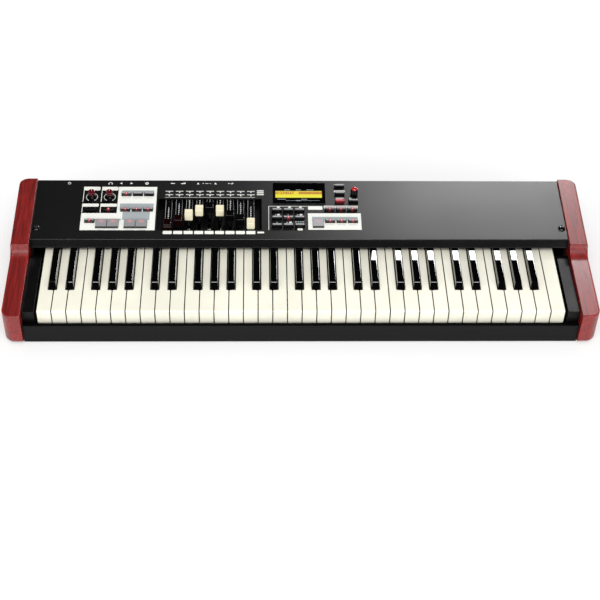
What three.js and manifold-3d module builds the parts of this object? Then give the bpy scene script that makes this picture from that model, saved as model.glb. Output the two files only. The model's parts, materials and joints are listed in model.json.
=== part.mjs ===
// Portable drawbar organ: 61 waterfall keys, nine drawbars, a sloping control deck and wooden cheeks.
// Millimetres. X runs to the player's right, Y away from the player, Z up.
// The origin is on the ground, under the middle of the instrument.

import * as THREE from 'three';
import { mergeVertices } from 'three/addons/utils/BufferGeometryUtils.js';
import Module from 'manifold-3d';

const wasm = await Module();
wasm.setup();

// Clearances and overruns
const seatGap = 0.3;
const cutOverrun = 5;
const weldTolerance = 0.0001;

// Keyboard
const octaves = 5;
const whitesPerOctave = 7;
const keyPitch = 23.5;
const keyGap = 1;
const keyTop = 58.5;
const keyBodyHeight = 12;
const keyLipHeight = 27;
const keyLipThickness = 2.5;
const keyNoseRadius = 2.5;
const keyWall = 1.8;
const keyRoof = 2.2;
const visibleKeyLength = 143.5;
const pivotSetback = 58;
const spineDepth = 12;
const spineHeight = 5.5;
const spineStep = 2;
const spineSplit = 0.5;

// Sharps
const sharpWidth = 13.2;
const sharpTopWidth = 10;
const sharpHeight = 10;
const sharpSideGap = 0.6;
const sharpSetback = 49.5;
const sharpLean = 8;
const sharpChamfer = 1;
const sharpSkirt = 8.5;
const sharpWall = 2;
const sharpFullLength = 102;
const sharpRampLength = 14;

// Wooden cheeks
const cheekThickness = 30;
const cheekLift = 7;
const cheekRise = 3.65;
const cheekShoulder = 16;
const cheekCove = 24;
const cheekCoveDrop = 14.8;
const cheekArmDrop = 2.2;
const cheekFrontCorner = 18;
const cheekRearCorner = 16;
const cheekEdge = 3;
const cheekToe = 9;

// Blocks beside the keys
const blockWidth = 19.7;
const blockGap = 3;
const blockTop = 60;
const blockLead = 3.5;
const blockChamfer = 1.5;
const blockTail = 16;

// Case, rail and feet
const footHeight = 5;
const footRadius = 12;
const footInset = 46;
const footTaperShare = 0.86;
const caseSheet = 2.5;
const caseUpturn = 25;
const caseSideHeight = 55;
const bossRadius = 5;
const bossBore = 1.6;
const bossShares = [-0.9, -0.3, 0.3, 0.9];
const railSetback = 7;
const railToKeys = 13.5;
const railTop = 37.5;
const railSheet = 2;
const railFlange = 7;
const rearSheet = 2;
const rearInset = 2;

// Key frame
const frameLift = 12;
const frameSheet = 3;
const frameFrontSetback = 13.5;
const beamSetback = 6;
const beamDepth = 19;
const feltThickness = 3;
const feltTop = 37.2;
const pivotRidge = 2;
const pivotSupport = 2.7;
const contactHeight = 34;
const contactSheet = 1.6;
const contactRubber = 5;
const contactSetback = 115;
const contactDepth = 56;
const contactRidge = 4;

// Control deck
const deckHeadroom = 1.4;
const deckRise = 8.8;
const deckSheet = 2;
const fasciaDrop = 11.6;
const fasciaLean = 6.75;
const fasciaFlange = 10;
const deckFrontMargin = 20;
const deckRearMargin = 2.78;

// Buttons
const buttonWidth = 16.5;
const buttonDepth = 6.6;
const buttonRise = 5.2;
const buttonGap = 2.5;
const squareButton = 18.5;
const squareButtonRise = 4.6;
const squareButtonGap = 1;
const buttonChamfer = 0.8;
const buttonClearance = 0.4;
const buttonStrip = 2;
const stripMargin = 1.5;
const buttonTravel = 1;

// Knobs
const knobPitch = 30;
const knobRadius = 5.6;
const knobSkirt = 6.8;
const knobSkirtHeight = 2.5;
const knobHeight = 12.3;
const knobShaft = 3;
const knobShaftClearance = 0.5;
const knobPointer = 1.2;
const dialRadius = 6.2;
const dialHeight = 20.8;

// Left control plate: three cells from the front to the rear
const plateSheet = 0.8;
const controlsMargin = 80;
const rowMargin = 3.5;
const lowerCellDepth = 38.9;
const middleCellDepth = 26.1;
const upperCellDepth = 36.4;
const squareRowShare = 0.337;
const smallRowShare = 0.499;
const pairRowShare = 0.261;
const middleRowShare = 0.276;
const upperRowShare = 0.478;
const knobRowShare = 0.354;

// Drawbars
const drawbarCount = 9;
const drawbarPitch = 17.3;
const drawbarTravel = 39.6;
const capLength = 16.7;
const capWidth = 13.4;
const capRise = 10;
const capDish = 1.6;
const capLean = 1.5;
const capClearance = 2.4;
const barWidth = 11.8;
const barThickness = 3;
const barDrop = 4.5;
const barLap = 1.4;
const keelWidth = 4;
const keelLength = 12;
const keelReach = 3;
const keelClearance = 0.5;
const recessFrontShift = 0.5;
const recessRoom = 15.3;
const recessSideRoom = 9.6;
const recessMargin = 2.8;
const trayDepth = 12;
const trayWall = 2;
const pulledShares = [1, 0.758, 0.444, 0.187, 0, 0.187, 0.487, 0.722, 0.944];

// Right controls
const gridMargin = 25.7;
const gridColumns = 3;
const gridRows = 3;
const gridRowPitch = 17.7;
const gridFront = 9.4;
const plateTwoMargin = 4.4;
const plateTwoFront = 1.4;
const plateTwoDepth = 37.75;
const plateTwoSide = 7.75;
const plateTwoStep = 1.25;
const plateTwoEnd = 4.5;
const plateTwoSquareShare = 0.35;
const plateTwoSmallShare = 0.488;
const presetRowStep = 8.7;
const displayOverhang = 1.75;
const displayWidth = 89;
const displayDepth = 51;
const displayRearStep = 10.2;
const windowSheet = 1.2;
const screenInset = 4;
const screenDepth = 19;
const screenShare = 0.48;
const screenBody = 6;
const screenClearance = 0.6;
const menuMargin = 24.5;
const menuPitch = 18;
const menuFrontStep = 6.3;
const playStep = 22.7;
const dialStep = 24.2;
const dialRowStep = 19;

// Boards
const boardSheet = 1.6;
const switchHeight = 5.1;
const boardInset = 2;
const postRadius = 2.5;
const mainBoardLeftShare = 0.22;
const mainBoardRightShare = 0.86;
const mainBoardDepth = 44;
const mainBoardLift = 9;
const chipHeight = 2.2;
const chipShares = [[0.2, 0.35, 0.1], [0.45, 0.5, 0.07], [0.62, 0.45, 0.05], [0.8, 0.6, 0.08]];
const rearRoom = 4;

// Rear sockets
const socketStripMargin = 36;
const socketStrip = 310;
const socketFloor = 26;
const jackBodyWidth = 14;
const jackBodyDepth = 24;
const jackBodyHeight = 15;
const jackNose = 5;
const jackBore = 3.3;
const dinBody = 20.5;
const dinDepth = 18;
const dinNose = 8;
const dinBore = 7;
const dinBoreDepth = 12;
const usbBodyWidth = 13;
const usbBodyHeight = 12;
const usbBodyDepth = 16;
const usbHole = 8;
const usbWall = 1.8;
const noseReach = 0.7;
const jackBoreDepth = 22;
const phonesShare = 0.284;
const lineLeftShare = 0.342;
const lineRightShare = 0.4;
const rotaryShare = 0.484;
const footSwitchShare = 0.626;
const pedalShare = 0.684;
const midiOutShare = 0.765;
const midiInShare = 0.861;
const usbShare = 0.948;

// Power inlet and its rocker
const inletShare = 0.03;
const rockerShare = 0.1;
const inletBody = 40;
const inletHeight = 24;
const inletDepth = 20;
const inletBore = 4;
const inletNose = 6;
const inletBoreDepth = 14;
const rockerWidth = 12;
const rockerHeight = 17;
const rockerThickness = 5;
const rockerClearance = 0.5;
const rockerPocket = 9;
const rockerPivotStep = 2.5;
const rockerTilt = THREE.MathUtils.degToRad(6);

// Facet counts
const roundSides = 24;
const smallSides = 14;
const plainSides = 8;
const bossSides = 8;
const arcSteps = 5;

// Sizes that follow from the ones above
const whiteCount = octaves * whitesPerOctave + 1;
const keyboardWidth = whiteCount * keyPitch;
const keysLeft = -keyboardWidth / 2;
const octaveWidth = whitesPerOctave * keyPitch;
const half = keyboardWidth / 2 + blockGap + blockWidth + seatGap;
const fullHalf = half + cheekThickness;
const innerHalf = half - seatGap;
const notchWidth = sharpWidth + 2 * sharpSideGap;
const buttonPitch = buttonWidth + buttonGap;
const squarePitch = squareButton + squareButtonGap;

const deckFrontHeight = keyTop + sharpHeight + deckHeadroom + fasciaDrop;
const plateDepth = lowerCellDepth + middleCellDepth + upperCellDepth;
const plateWidth = 2 * knobPitch + 3 * buttonPitch + 2 * rowMargin;
const plateLeft = -half + controlsMargin;
const plateFront = deckFrontMargin;
const plateRear = plateFront + plateDepth;

const recessLeft = plateLeft + plateWidth + recessMargin;
const firstDrawbar = recessLeft + recessSideRoom + drawbarPitch / 2;
const recessRight = firstDrawbar + (drawbarCount - 0.5) * drawbarPitch + recessSideRoom;
const recessFront = plateFront + recessFrontShift;
const capOut = recessFront + capClearance + capLength;
const capIn = capOut + drawbarTravel;
const recessRear = capIn + recessRoom;
const barLength = recessRear + barLap - capOut;

const gridLeft = recessRight + gridMargin;
const gridRight = gridLeft + (gridColumns - 1) * buttonPitch;
const plateTwoLeft = gridRight + buttonPitch / 2 + plateTwoMargin;
const plateTwoSquareX = plateTwoLeft + plateTwoSide + squareButton / 2;
const plateTwoSmallX = plateTwoSquareX + squareButton / 2 + plateTwoStep + buttonPitch / 2;
const plateTwoRight = plateTwoSmallX + 2.5 * buttonPitch + plateTwoEnd;
const plateTwoNear = plateFront + plateTwoFront;
const plateTwoFar = plateTwoNear + plateTwoDepth;
const displayLeft = gridLeft - buttonWidth / 2 + displayOverhang;
const displayRight = displayLeft + displayWidth;
const displayRear = plateRear + displayRearStep;
const displayFront = displayRear - displayDepth;
const menuX = displayRight + menuMargin;
const menuFront = displayFront + menuFrontStep;
const playX = menuX + playStep;
const dialX = menuX + dialStep;
const dialRow = displayFront + dialRowStep;

const deckLength = Math.max(capIn + barLength, displayRear) + deckRearMargin;
const deckSlope = Math.asin(deckRise / deckLength);
const deckDepth = deckLength * Math.cos(deckSlope);
const bodyDepth = railSetback + railToKeys + visibleKeyLength + deckDepth + rearInset;
const bodyFront = -bodyDepth / 2;
const bodyRear = bodyDepth / 2;
const railFront = bodyFront + railSetback;
const keyFront = railFront + railToKeys;
const sharpFront = keyFront + sharpSetback;
const deckFront = keyFront + visibleKeyLength;
const deckRear = deckFront + deckDepth;
const pivotY = deckFront + pivotSetback;
const spineFront = pivotY - spineDepth / 2;
const spineRear = pivotY + spineDepth / 2;
const keyBottom = keyTop - keyBodyHeight;
const whiteSpineTop = keyBottom + spineHeight;
const sharpSpineBottom = whiteSpineTop + spineSplit;
const sharpSpineTop = sharpSpineBottom + spineHeight;
const sharpBottom = keyTop - sharpSkirt;
const sharpTop = keyTop + sharpHeight;
const floorTop = footHeight + caseSheet;
const floorFront = railFront + railSheet + seatGap;
const rearFace = deckRear - rearSheet;

// A place on the deck: v runs up the slope from its front edge, h stands square to it.
function deckPoint(v, h) {
  const y = deckFront + v * Math.cos(deckSlope) - h * Math.sin(deckSlope);
  const z = deckFrontHeight + v * Math.sin(deckSlope) + h * Math.cos(deckSlope);
  return { y, z };
}

// Shape tools

// A closed geometry as a solid: shared points merged, empty triangles dropped, faces turned outwards.
function toSolid(geometry) {
  const bare = new THREE.BufferGeometry();
  bare.setAttribute('position', geometry.getAttribute('position').clone());
  if (geometry.index) bare.setIndex(geometry.index);
  const merged = mergeVertices(bare, weldTolerance);
  const points = merged.getAttribute('position').array;
  const index = merged.index.array;
  const faces = [];
  let volume = 0;
  const corner = [new THREE.Vector3(), new THREE.Vector3(), new THREE.Vector3()];
  for (let i = 0; i < index.length; i += 3) {
    const [a, b, c] = [index[i], index[i + 1], index[i + 2]];
    if (a === b || b === c || c === a) continue;
    faces.push([a, b, c]);
    [a, b, c].forEach((n, k) => corner[k].fromArray(points, 3 * n));
    volume += corner[0].dot(corner[1].clone().cross(corner[2])) / 6;
  }
  const turned = volume < 0 ? faces.map(([a, b, c]) => [a, c, b]) : faces;
  const mesh = new wasm.Mesh({
    numProp: 3,
    vertProperties: Float32Array.from(points),
    triVerts: Uint32Array.from(turned.flat()),
  });
  return new wasm.Manifold(mesh);
}

function toGeometry(solid) {
  const mesh = solid.getMesh();
  const geometry = new THREE.BufferGeometry();
  geometry.setAttribute('position', new THREE.BufferAttribute(mesh.vertProperties, 3));
  geometry.setIndex(new THREE.BufferAttribute(mesh.triVerts, 1));
  geometry.computeVertexNormals();
  return geometry;
}

function block(x0, x1, y0, y1, z0, z1) {
  const geometry = new THREE.BoxGeometry(x1 - x0, y1 - y0, z1 - z0);
  geometry.translate((x0 + x1) / 2, (y0 + y1) / 2, (z0 + z1) / 2);
  return toSolid(geometry);
}

function shapeFrom(points) {
  return new THREE.Shape(points.map(([a, b]) => new THREE.Vector2(a, b)));
}

// A plan outline in X and Y, raised from z0 to z1.
function raised(points, z0, z1) {
  const geometry = new THREE.ExtrudeGeometry(shapeFrom(points), { depth: z1 - z0, bevelEnabled: false });
  geometry.translate(0, 0, z0);
  return toSolid(geometry);
}

// A side outline in Y and Z, carried across from x0 to x1.
function across(points, x0, x1) {
  const geometry = new THREE.ExtrudeGeometry(shapeFrom(points), { depth: x1 - x0, bevelEnabled: false });
  const turn = new THREE.Matrix4().makeBasis(
    new THREE.Vector3(0, 1, 0),
    new THREE.Vector3(0, 0, 1),
    new THREE.Vector3(1, 0, 0),
  );
  geometry.applyMatrix4(turn);
  geometry.translate(x0, 0, 0);
  return toSolid(geometry);
}

// A front outline in X and Z, carried back from y0 to y1.
function backward(points, y0, y1) {
  const geometry = new THREE.ExtrudeGeometry(shapeFrom(points), { depth: y1 - y0, bevelEnabled: false });
  geometry.rotateX(Math.PI / 2);
  geometry.translate(0, y1, 0);
  return toSolid(geometry);
}

// A profile of radius and height turned about an upright axis at x, y.
function turnedUpright(profile, x, y, sides) {
  const geometry = new THREE.LatheGeometry(shapeFrom(profile).getPoints(), sides);
  geometry.rotateX(Math.PI / 2);
  geometry.translate(x, y, 0);
  return toSolid(geometry);
}

function rod(radius, x, y, z0, z1, sides) {
  const geometry = new THREE.CylinderGeometry(radius, radius, z1 - z0, sides);
  geometry.rotateX(Math.PI / 2);
  geometry.translate(x, y, (z0 + z1) / 2);
  return toSolid(geometry);
}

// A round bar or cutter lying along Y.
function rodAlongY(radius, x, z, y0, y1, sides) {
  const geometry = new THREE.CylinderGeometry(radius, radius, y1 - y0, sides);
  geometry.translate(x, (y0 + y1) / 2, z);
  return toSolid(geometry);
}

function joined(solids) {
  return solids.reduce((whole, piece) => whole.add(piece));
}

function cutBy(solid, cutters) {
  return cutters.reduce((rest, cutter) => rest.subtract(cutter), solid);
}

// Points of an arc about a centre, both ends included.
function arc(centreA, centreB, radius, from, to) {
  const points = [];
  for (let i = 0; i <= arcSteps; i += 1) {
    const angle = from + ((to - from) * i) / arcSteps;
    points.push([centreA + radius * Math.cos(angle), centreB + radius * Math.sin(angle)]);
  }
  return points;
}

function finish(color, roughness, metalness) {
  return new THREE.MeshStandardMaterial({ color, roughness, metalness });
}

const finishes = {
  wood: finish(0x5a1414, 0.35, 0),
  blackMetal: finish(0x1c1c1d, 0.45, 0.4),
  blackPlastic: finish(0x0d0d0e, 0.4, 0),
  gloss: finish(0x050505, 0.12, 0),
  ivory: finish(0xf2ecd2, 0.3, 0),
  brown: finish(0x3a1210, 0.3, 0),
  print: finish(0xe4e3dc, 0.5, 0),
  grey: finish(0x85868a, 0.5, 0),
  red: finish(0xa81824, 0.35, 0),
  rubber: finish(0x151515, 0.9, 0),
  steel: finish(0x9a9c9f, 0.35, 1),
  board: finish(0x1d4a2a, 0.6, 0),
  felt: finish(0x6d1f22, 0.95, 0),
  screen: finish(0xd9b400, 0.3, 0),
};

const organ = new THREE.Group();

// The deck's own frame: X as before, Y up the slope, Z square to the panel.
const deck = new THREE.Group();
deck.position.set(0, deckFront, deckFrontHeight);
deck.rotation.x = deckSlope;
organ.add(deck);

function place(parent, name, solid, material) {
  const mesh = new THREE.Mesh(toGeometry(solid), material);
  mesh.name = name;
  parent.add(mesh);
}

// Keys: where each white key lies in its octave, and which sharps stand between them

const groupSizes = [3, 4];

// The tails of one group share what its notches leave, so every tail in a group is equally wide.
function octaveLayout(left) {
  const whites = [];
  const sharps = [];
  let groupLeft = left;
  for (const count of groupSizes) {
    const groupWidth = count * keyPitch;
    const tail = (groupWidth - keyGap - (count - 1) * notchWidth) / count;
    for (let i = 0; i < count; i += 1) {
      const headLeft = groupLeft + i * keyPitch + keyGap / 2;
      const tailLeft = groupLeft + keyGap / 2 + i * (tail + notchWidth);
      const headRight = headLeft + keyPitch - keyGap;
      whites.push({ headLeft, headRight, tailLeft, tailRight: tailLeft + tail });
      if (i < count - 1) sharps.push(tailLeft + tail + notchWidth / 2);
    }
    groupLeft += groupWidth;
  }
  return { whites, sharps };
}

// Plan of a white key: a full-width head, and a tail that leaves room for the sharps.
function whitePlan(key, inset, front, rear) {
  const neck = sharpFront - sharpSideGap - keyGap + inset;
  const outline = [[key.headLeft + inset, front], [key.headRight - inset, front]];
  if (key.tailRight < key.headRight) {
    outline.push([key.headRight - inset, neck - 2 * inset], [key.tailRight - inset, neck - 2 * inset]);
  }
  outline.push([key.tailRight - inset, rear], [key.tailLeft + inset, rear]);
  if (key.tailLeft > key.headLeft) {
    outline.push([key.tailLeft + inset, neck - 2 * inset], [key.headLeft + inset, neck - 2 * inset]);
  }
  return outline;
}

// Side view of a white key: the waterfall lip in front, a low tongue over the pivot behind.
function whiteSide() {
  const step = spineFront - spineStep;
  const noseY = keyFront + keyNoseRadius;
  return [
    [step, keyTop],
    ...arc(noseY, keyTop - keyNoseRadius, keyNoseRadius, Math.PI / 2, Math.PI),
    [keyFront, keyTop - keyLipHeight],
    [keyFront + keyLipThickness, keyTop - keyLipHeight],
    [keyFront + keyLipThickness, keyBottom],
    [spineRear, keyBottom],
    [spineRear, whiteSpineTop],
    [step, whiteSpineTop],
  ];
}

function whiteKey(key) {
  const plan = raised(whitePlan(key, 0, keyFront, spineRear), keyTop - keyLipHeight, keyTop);
  const body = plan.intersect(across(whiteSide(), key.headLeft, key.headRight));
  const hollowRear = spineFront - spineStep - keyWall;
  const hollow = raised(
    whitePlan(key, keyWall, keyFront + keyLipThickness + keyWall, hollowRear),
    keyBottom - cutOverrun,
    keyTop - keyRoof,
  );
  return body.subtract(hollow);
}

function whiteComb(keys) {
  const left = keys[0].headLeft;
  const right = keys[keys.length - 1].headRight;
  const spine = block(left, right, spineFront, spineRear, keyBottom, whiteSpineTop);
  return joined([spine, ...keys.map(whiteKey)]);
}

// Side view of a sharp: a leaning front, a level top, then a ramp down to the pivot tongue.
function sharpSide() {
  const rampStart = sharpFront + sharpFullLength;
  const step = spineFront - spineStep;
  return [
    [sharpFront, sharpBottom],
    [step, sharpBottom],
    [step, sharpSpineBottom],
    [spineRear, sharpSpineBottom],
    [spineRear, sharpSpineTop],
    [rampStart + sharpRampLength, sharpSpineTop],
    [rampStart, sharpTop],
    [sharpFront + sharpLean + sharpChamfer, sharpTop],
    [sharpFront + sharpLean, sharpTop - sharpChamfer],
    [sharpFront, keyTop],
  ];
}

// Front view of a sharp: upright to the white keys' level, drawn in above it.
function sharpFace(x) {
  const foot = sharpWidth / 2;
  const top = sharpTopWidth / 2;
  return [
    [x - foot, sharpBottom - cutOverrun],
    [x + foot, sharpBottom - cutOverrun],
    [x + foot, keyTop],
    [x + top, sharpTop - sharpChamfer],
    [x + top - sharpChamfer, sharpTop],
    [x - top + sharpChamfer, sharpTop],
    [x - top, sharpTop - sharpChamfer],
    [x - foot, keyTop],
  ];
}

function sharpKey(x) {
  const side = across(sharpSide(), x - sharpWidth, x + sharpWidth);
  const body = side.intersect(backward(sharpFace(x), sharpFront - cutOverrun, spineRear + cutOverrun));
  const inner = sharpWidth / 2 - sharpWall;
  const hollow = block(
    x - inner,
    x + inner,
    sharpFront + sharpLean,
    sharpFront + sharpFullLength,
    sharpBottom - cutOverrun,
    keyTop + sharpWall,
  );
  return body.subtract(hollow);
}

function sharpComb(sharps, left) {
  const right = left + octaveWidth - keyGap / 2;
  const spine = block(left + keyGap / 2, right, spineFront, spineRear, sharpSpineBottom, sharpSpineTop);
  return joined([spine, ...sharps.map(sharpKey)]);
}

for (let octave = 0; octave < octaves; octave += 1) {
  const left = keysLeft + octave * octaveWidth;
  const layout = octaveLayout(left);
  place(organ, `white_keys_octave_${octave + 1}`, whiteComb(layout.whites), finishes.ivory);
  place(organ, `black_keys_octave_${octave + 1}`, sharpComb(layout.sharps, left), finishes.gloss);
}

const topLeft = keysLeft + octaves * octaveWidth + keyGap / 2;
const topRight = topLeft + keyPitch - keyGap;
const topKey = { headLeft: topLeft, headRight: topRight, tailLeft: topLeft, tailRight: topRight };
place(organ, 'white_key_top', whiteComb([topKey]), finishes.ivory);

// Key frame: a folded sheet with a beam under the key fronts and a pivot ridge behind

const frameFront = keyFront + frameFrontSetback;
const beamFront = frameFront + beamSetback;
const beamTop = feltTop - feltThickness - seatGap;
const frameRear = spineRear + seatGap + pivotSupport;
const ridgeFront = pivotY - pivotRidge;
const contactFront = pivotY - contactSetback;
const contactRear = contactFront + contactDepth;
const frameTop = frameLift + frameSheet;
const contactSeat = contactHeight - seatGap;

function keyFrame() {
  const profile = [
    [frameFront, frameLift],
    [frameRear, frameLift],
    [frameRear, sharpSpineTop],
    [spineRear + seatGap, sharpSpineTop],
    [spineRear + seatGap, keyBottom - seatGap],
    [ridgeFront, keyBottom - seatGap],
    [ridgeFront, frameTop],
    [contactRear, frameTop],
    [contactRear, contactSeat],
    [contactRear - contactRidge, contactSeat],
    [contactRear - contactRidge, frameTop],
    [contactFront + contactRidge, frameTop],
    [contactFront + contactRidge, contactSeat],
    [contactFront, contactSeat],
    [contactFront, frameTop],
    [beamFront + beamDepth, frameTop],
    [beamFront + beamDepth, beamTop],
    [beamFront, beamTop],
    [beamFront, frameTop],
    [frameFront, frameTop],
  ];
  return across(profile, keysLeft, -keysLeft);
}

function feltStrip() {
  return block(keysLeft, -keysLeft, beamFront, beamFront + beamDepth, feltTop - feltThickness, feltTop);
}

// The contact board under the keys carries one long strip of rubber contacts.
function contactBoard() {
  const top = contactHeight + contactSheet;
  const board = block(keysLeft, -keysLeft, contactFront, contactRear, contactHeight, top);
  const rubberFront = contactFront + contactDepth / 3;
  const rubberRear = contactFront + (2 * contactDepth) / 3;
  const rubber = [
    [rubberFront, contactHeight + contactSheet / 2],
    [rubberRear, contactHeight + contactSheet / 2],
    [rubberRear, top],
    [rubberRear - contactRubber, top + contactRubber],
    [rubberFront + contactRubber, top + contactRubber],
    [rubberFront, top],
  ];
  return board.add(across(rubber, keysLeft + contactRidge, -keysLeft - contactRidge));
}

place(organ, 'key_frame', keyFrame(), finishes.steel);
place(organ, 'key_felt_strip', feltStrip(), finishes.felt);
place(organ, 'key_contact_board', contactBoard(), finishes.board);

// Cheeks: one side outline with a cove in front of the deck, and rounded outer corners

function cheekSide() {
  const slope = Math.tan(deckSlope);
  const shoulder = deckFront - cheekShoulder;
  const topAt = (y) => deckFrontHeight + cheekRise + (y - deckFront) * slope;
  const coveSpan = Math.acos(1 - cheekCoveDrop / cheekCove);
  const armRear = shoulder - cheekCove * Math.sin(coveSpan);
  const armTop = topAt(shoulder) - cheekCoveDrop;
  const armFront = armTop - cheekArmDrop;
  const rearTop = topAt(bodyRear);
  return [
    [bodyRear, cheekLift],
    ...arc(bodyRear - cheekEdge, rearTop - cheekEdge, cheekEdge, 0, Math.PI / 2),
    ...arc(armRear, armTop + cheekCove, cheekCove, coveSpan - Math.PI / 2, -Math.PI / 2),
    ...arc(bodyFront + cheekEdge, armFront - cheekEdge, cheekEdge, Math.PI / 2, Math.PI),
    ...arc(bodyFront + cheekToe, cheekLift + cheekToe, cheekToe, Math.PI, 1.5 * Math.PI),
  ];
}

function cheekPlan() {
  const r = cheekFrontCorner;
  const q = cheekRearCorner;
  return [
    [half, bodyFront],
    ...arc(fullHalf - r, bodyFront + r, r, -Math.PI / 2, 0),
    ...arc(fullHalf - q, bodyRear - q, q, 0, Math.PI / 2),
    [half, bodyRear],
  ];
}

function cheek(side) {
  const plan = cheekPlan().map(([x, y]) => [side * x, y]);
  const column = raised(plan, 0, deckFrontHeight + deckRise + cheekRise + cutOverrun);
  const left = side < 0 ? -fullHalf : half;
  return column.intersect(across(cheekSide(), left, left + cheekThickness));
}

place(organ, 'cheek_left', cheek(-1), finishes.wood);
place(organ, 'cheek_right', cheek(1), finishes.wood);

// Blocks that fill the gap between the outer keys and the cheeks

function endBlock(side) {
  const front = keyFront - blockLead;
  const rear = deckFront - blockTail;
  const profile = [
    [front, floorTop + seatGap],
    [rear, floorTop + seatGap],
    [rear, blockTop - blockChamfer],
    [rear - blockChamfer, blockTop],
    [front + blockChamfer, blockTop],
    [front, blockTop - blockChamfer],
  ];
  const inner = innerHalf - blockWidth;
  return side < 0 ? across(profile, -innerHalf, -inner) : across(profile, inner, innerHalf);
}

place(organ, 'end_block_left', endBlock(-1), finishes.blackPlastic);
place(organ, 'end_block_right', endBlock(1), finishes.blackPlastic);

// Case floor with its upturned edges and the bosses that carry the frame and boards

const mainBoardLeft = mainBoardLeftShare * half;
const mainBoardRight = mainBoardRightShare * half;
const mainBoardFront = rearFace - rearRoom - mainBoardDepth;
const mainBoardBottom = floorTop + mainBoardLift;
const stripLeft = -half + socketStripMargin;
const jackBoardLeft = stripLeft + (phonesShare + inletShare) * socketStrip - jackBodyWidth;
const jackBoardRight = stripLeft + socketStrip;
const jackBoardFront = rearFace - rearRoom - jackBodyDepth;
const jackBoardBottom = socketFloor - boardSheet;
const inletLeft = stripLeft + inletShare * socketStrip - inletBody / 4;
const inletRight = inletLeft + inletBody;
const inletFront = rearFace - seatGap - inletDepth;

function boss(x, y, top) {
  const post = rod(bossRadius, x, y, floorTop - caseSheet / 2, top, 2 * bossSides);
  const bore = rod(bossBore, x, y, floorTop + caseSheet / 2, top + cutOverrun, bossSides);
  return post.subtract(bore);
}

function bottomCase() {
  const rear = rearFace - seatGap;
  const profile = [
    [floorFront, footHeight],
    [rear, footHeight],
    [rear, floorTop],
    [floorFront + caseSheet, floorTop],
    [floorFront + caseSheet, footHeight + caseUpturn],
    [floorFront, footHeight + caseUpturn],
  ];
  const tray = across(profile, -innerHalf, innerHalf);
  const sideTop = floorTop + caseSideHeight;
  const sides = [-innerHalf, innerHalf - caseSheet].map((x) => (
    block(x, x + caseSheet, deckFront, rear, floorTop - caseSheet / 2, sideTop)
  ));
  const posts = [];
  for (const xShare of bossShares) {
    for (const y of [frameFront + 2 * bossRadius, frameRear - 2 * bossRadius]) {
      posts.push(boss(xShare * keyboardWidth / 2, y, frameLift - seatGap));
    }
  }
  for (const x of [mainBoardLeft + 2 * bossRadius, mainBoardRight - 2 * bossRadius]) {
    for (const y of [mainBoardFront + bossRadius, rearFace - rearRoom - bossRadius]) {
      posts.push(boss(x, y, mainBoardBottom - seatGap));
    }
  }
  for (const x of [jackBoardLeft + bossRadius, jackBoardRight - bossRadius]) {
    posts.push(boss(x, jackBoardFront + bossRadius, jackBoardBottom - seatGap));
  }
  const inletMiddle = (inletLeft + inletRight) / 2;
  posts.push(boss(inletMiddle, inletFront + inletDepth / 2, socketFloor - seatGap));
  return joined([tray, ...sides, ...posts]);
}

// Front rail: a folded sheet whose top edge turns back towards the keys.
function frontRail() {
  const profile = [
    [railFront, footHeight],
    [railFront + railSheet, footHeight],
    [railFront + railSheet, railTop - railSheet],
    [railFront + railFlange, railTop - railSheet],
    [railFront + railFlange, railTop],
    [railFront, railTop],
  ];
  return across(profile, -innerHalf, innerHalf);
}

function foot(x, y) {
  const top = footHeight - seatGap;
  const profile = [
    [0, 0],
    [footRadius * footTaperShare, 0],
    [footRadius, top / 2],
    [footRadius, top],
    [0, top],
  ];
  return turnedUpright(profile, x, y, roundSides);
}

place(organ, 'bottom_case', bottomCase(), finishes.blackMetal);
place(organ, 'front_rail', frontRail(), finishes.blackMetal);
for (const [name, x, y] of [
  ['foot_front_left', -1, -1],
  ['foot_front_right', 1, -1],
  ['foot_rear_left', -1, 1],
  ['foot_rear_right', 1, 1],
]) {
  const reachY = y < 0 ? railFront + footInset : deckRear - footInset;
  place(organ, name, foot(x * (half - footInset), reachY), finishes.rubber);
}

// Buttons: each moulded strip lies under the panel and its caps come up through it

const lowerRow = plateFront + squareRowShare * lowerCellDepth;
const smallRow = plateFront + smallRowShare * lowerCellDepth;
const pairRow = plateFront + lowerCellDepth + pairRowShare * middleCellDepth;
const middleRow = plateFront + lowerCellDepth + middleRowShare * middleCellDepth;
const upperRow = plateFront + lowerCellDepth + middleCellDepth + upperRowShare * upperCellDepth;
const knobRow = plateFront + lowerCellDepth + middleCellDepth + knobRowShare * upperCellDepth;
const knobOneX = plateLeft + knobPitch / 2;
const knobTwoX = knobOneX + knobPitch;
const rowX = plateLeft + 2 * knobPitch + rowMargin + buttonPitch / 2;
const leftSquareX = knobOneX + buttonPitch / 2 + squareButtonGap + squareButton / 2;
const rightSquareX = plateLeft + 2 * knobPitch + rowMargin + squareButton;
const plateTwoSquareRow = plateTwoNear + plateTwoSquareShare * plateTwoDepth;
const plateTwoSmallRow = plateTwoNear + plateTwoSmallShare * plateTwoDepth;
const presetRow = plateTwoFar + presetRowStep;

function smallRowCaps(x, v, count) {
  return Array.from({ length: count }, (_, i) => ({ x: x + i * buttonPitch, v, square: false }));
}

function squareRowCaps(x, v, count) {
  return Array.from({ length: count }, (_, i) => ({ x: x + i * squarePitch, v, square: true }));
}

function gridCaps() {
  const rows = Array.from({ length: gridRows }, (_, i) => (
    smallRowCaps(gridLeft, plateFront + gridFront + i * gridRowPitch, gridColumns)
  ));
  return rows.flat();
}

const pairCaps = [
  { x: knobOneX, v: pairRow, square: false },
  { x: knobTwoX, v: pairRow, square: false },
];
const menuCaps = [1, 2].map((step) => ({ x: menuX, v: menuFront + step * menuPitch, square: false }));

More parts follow.
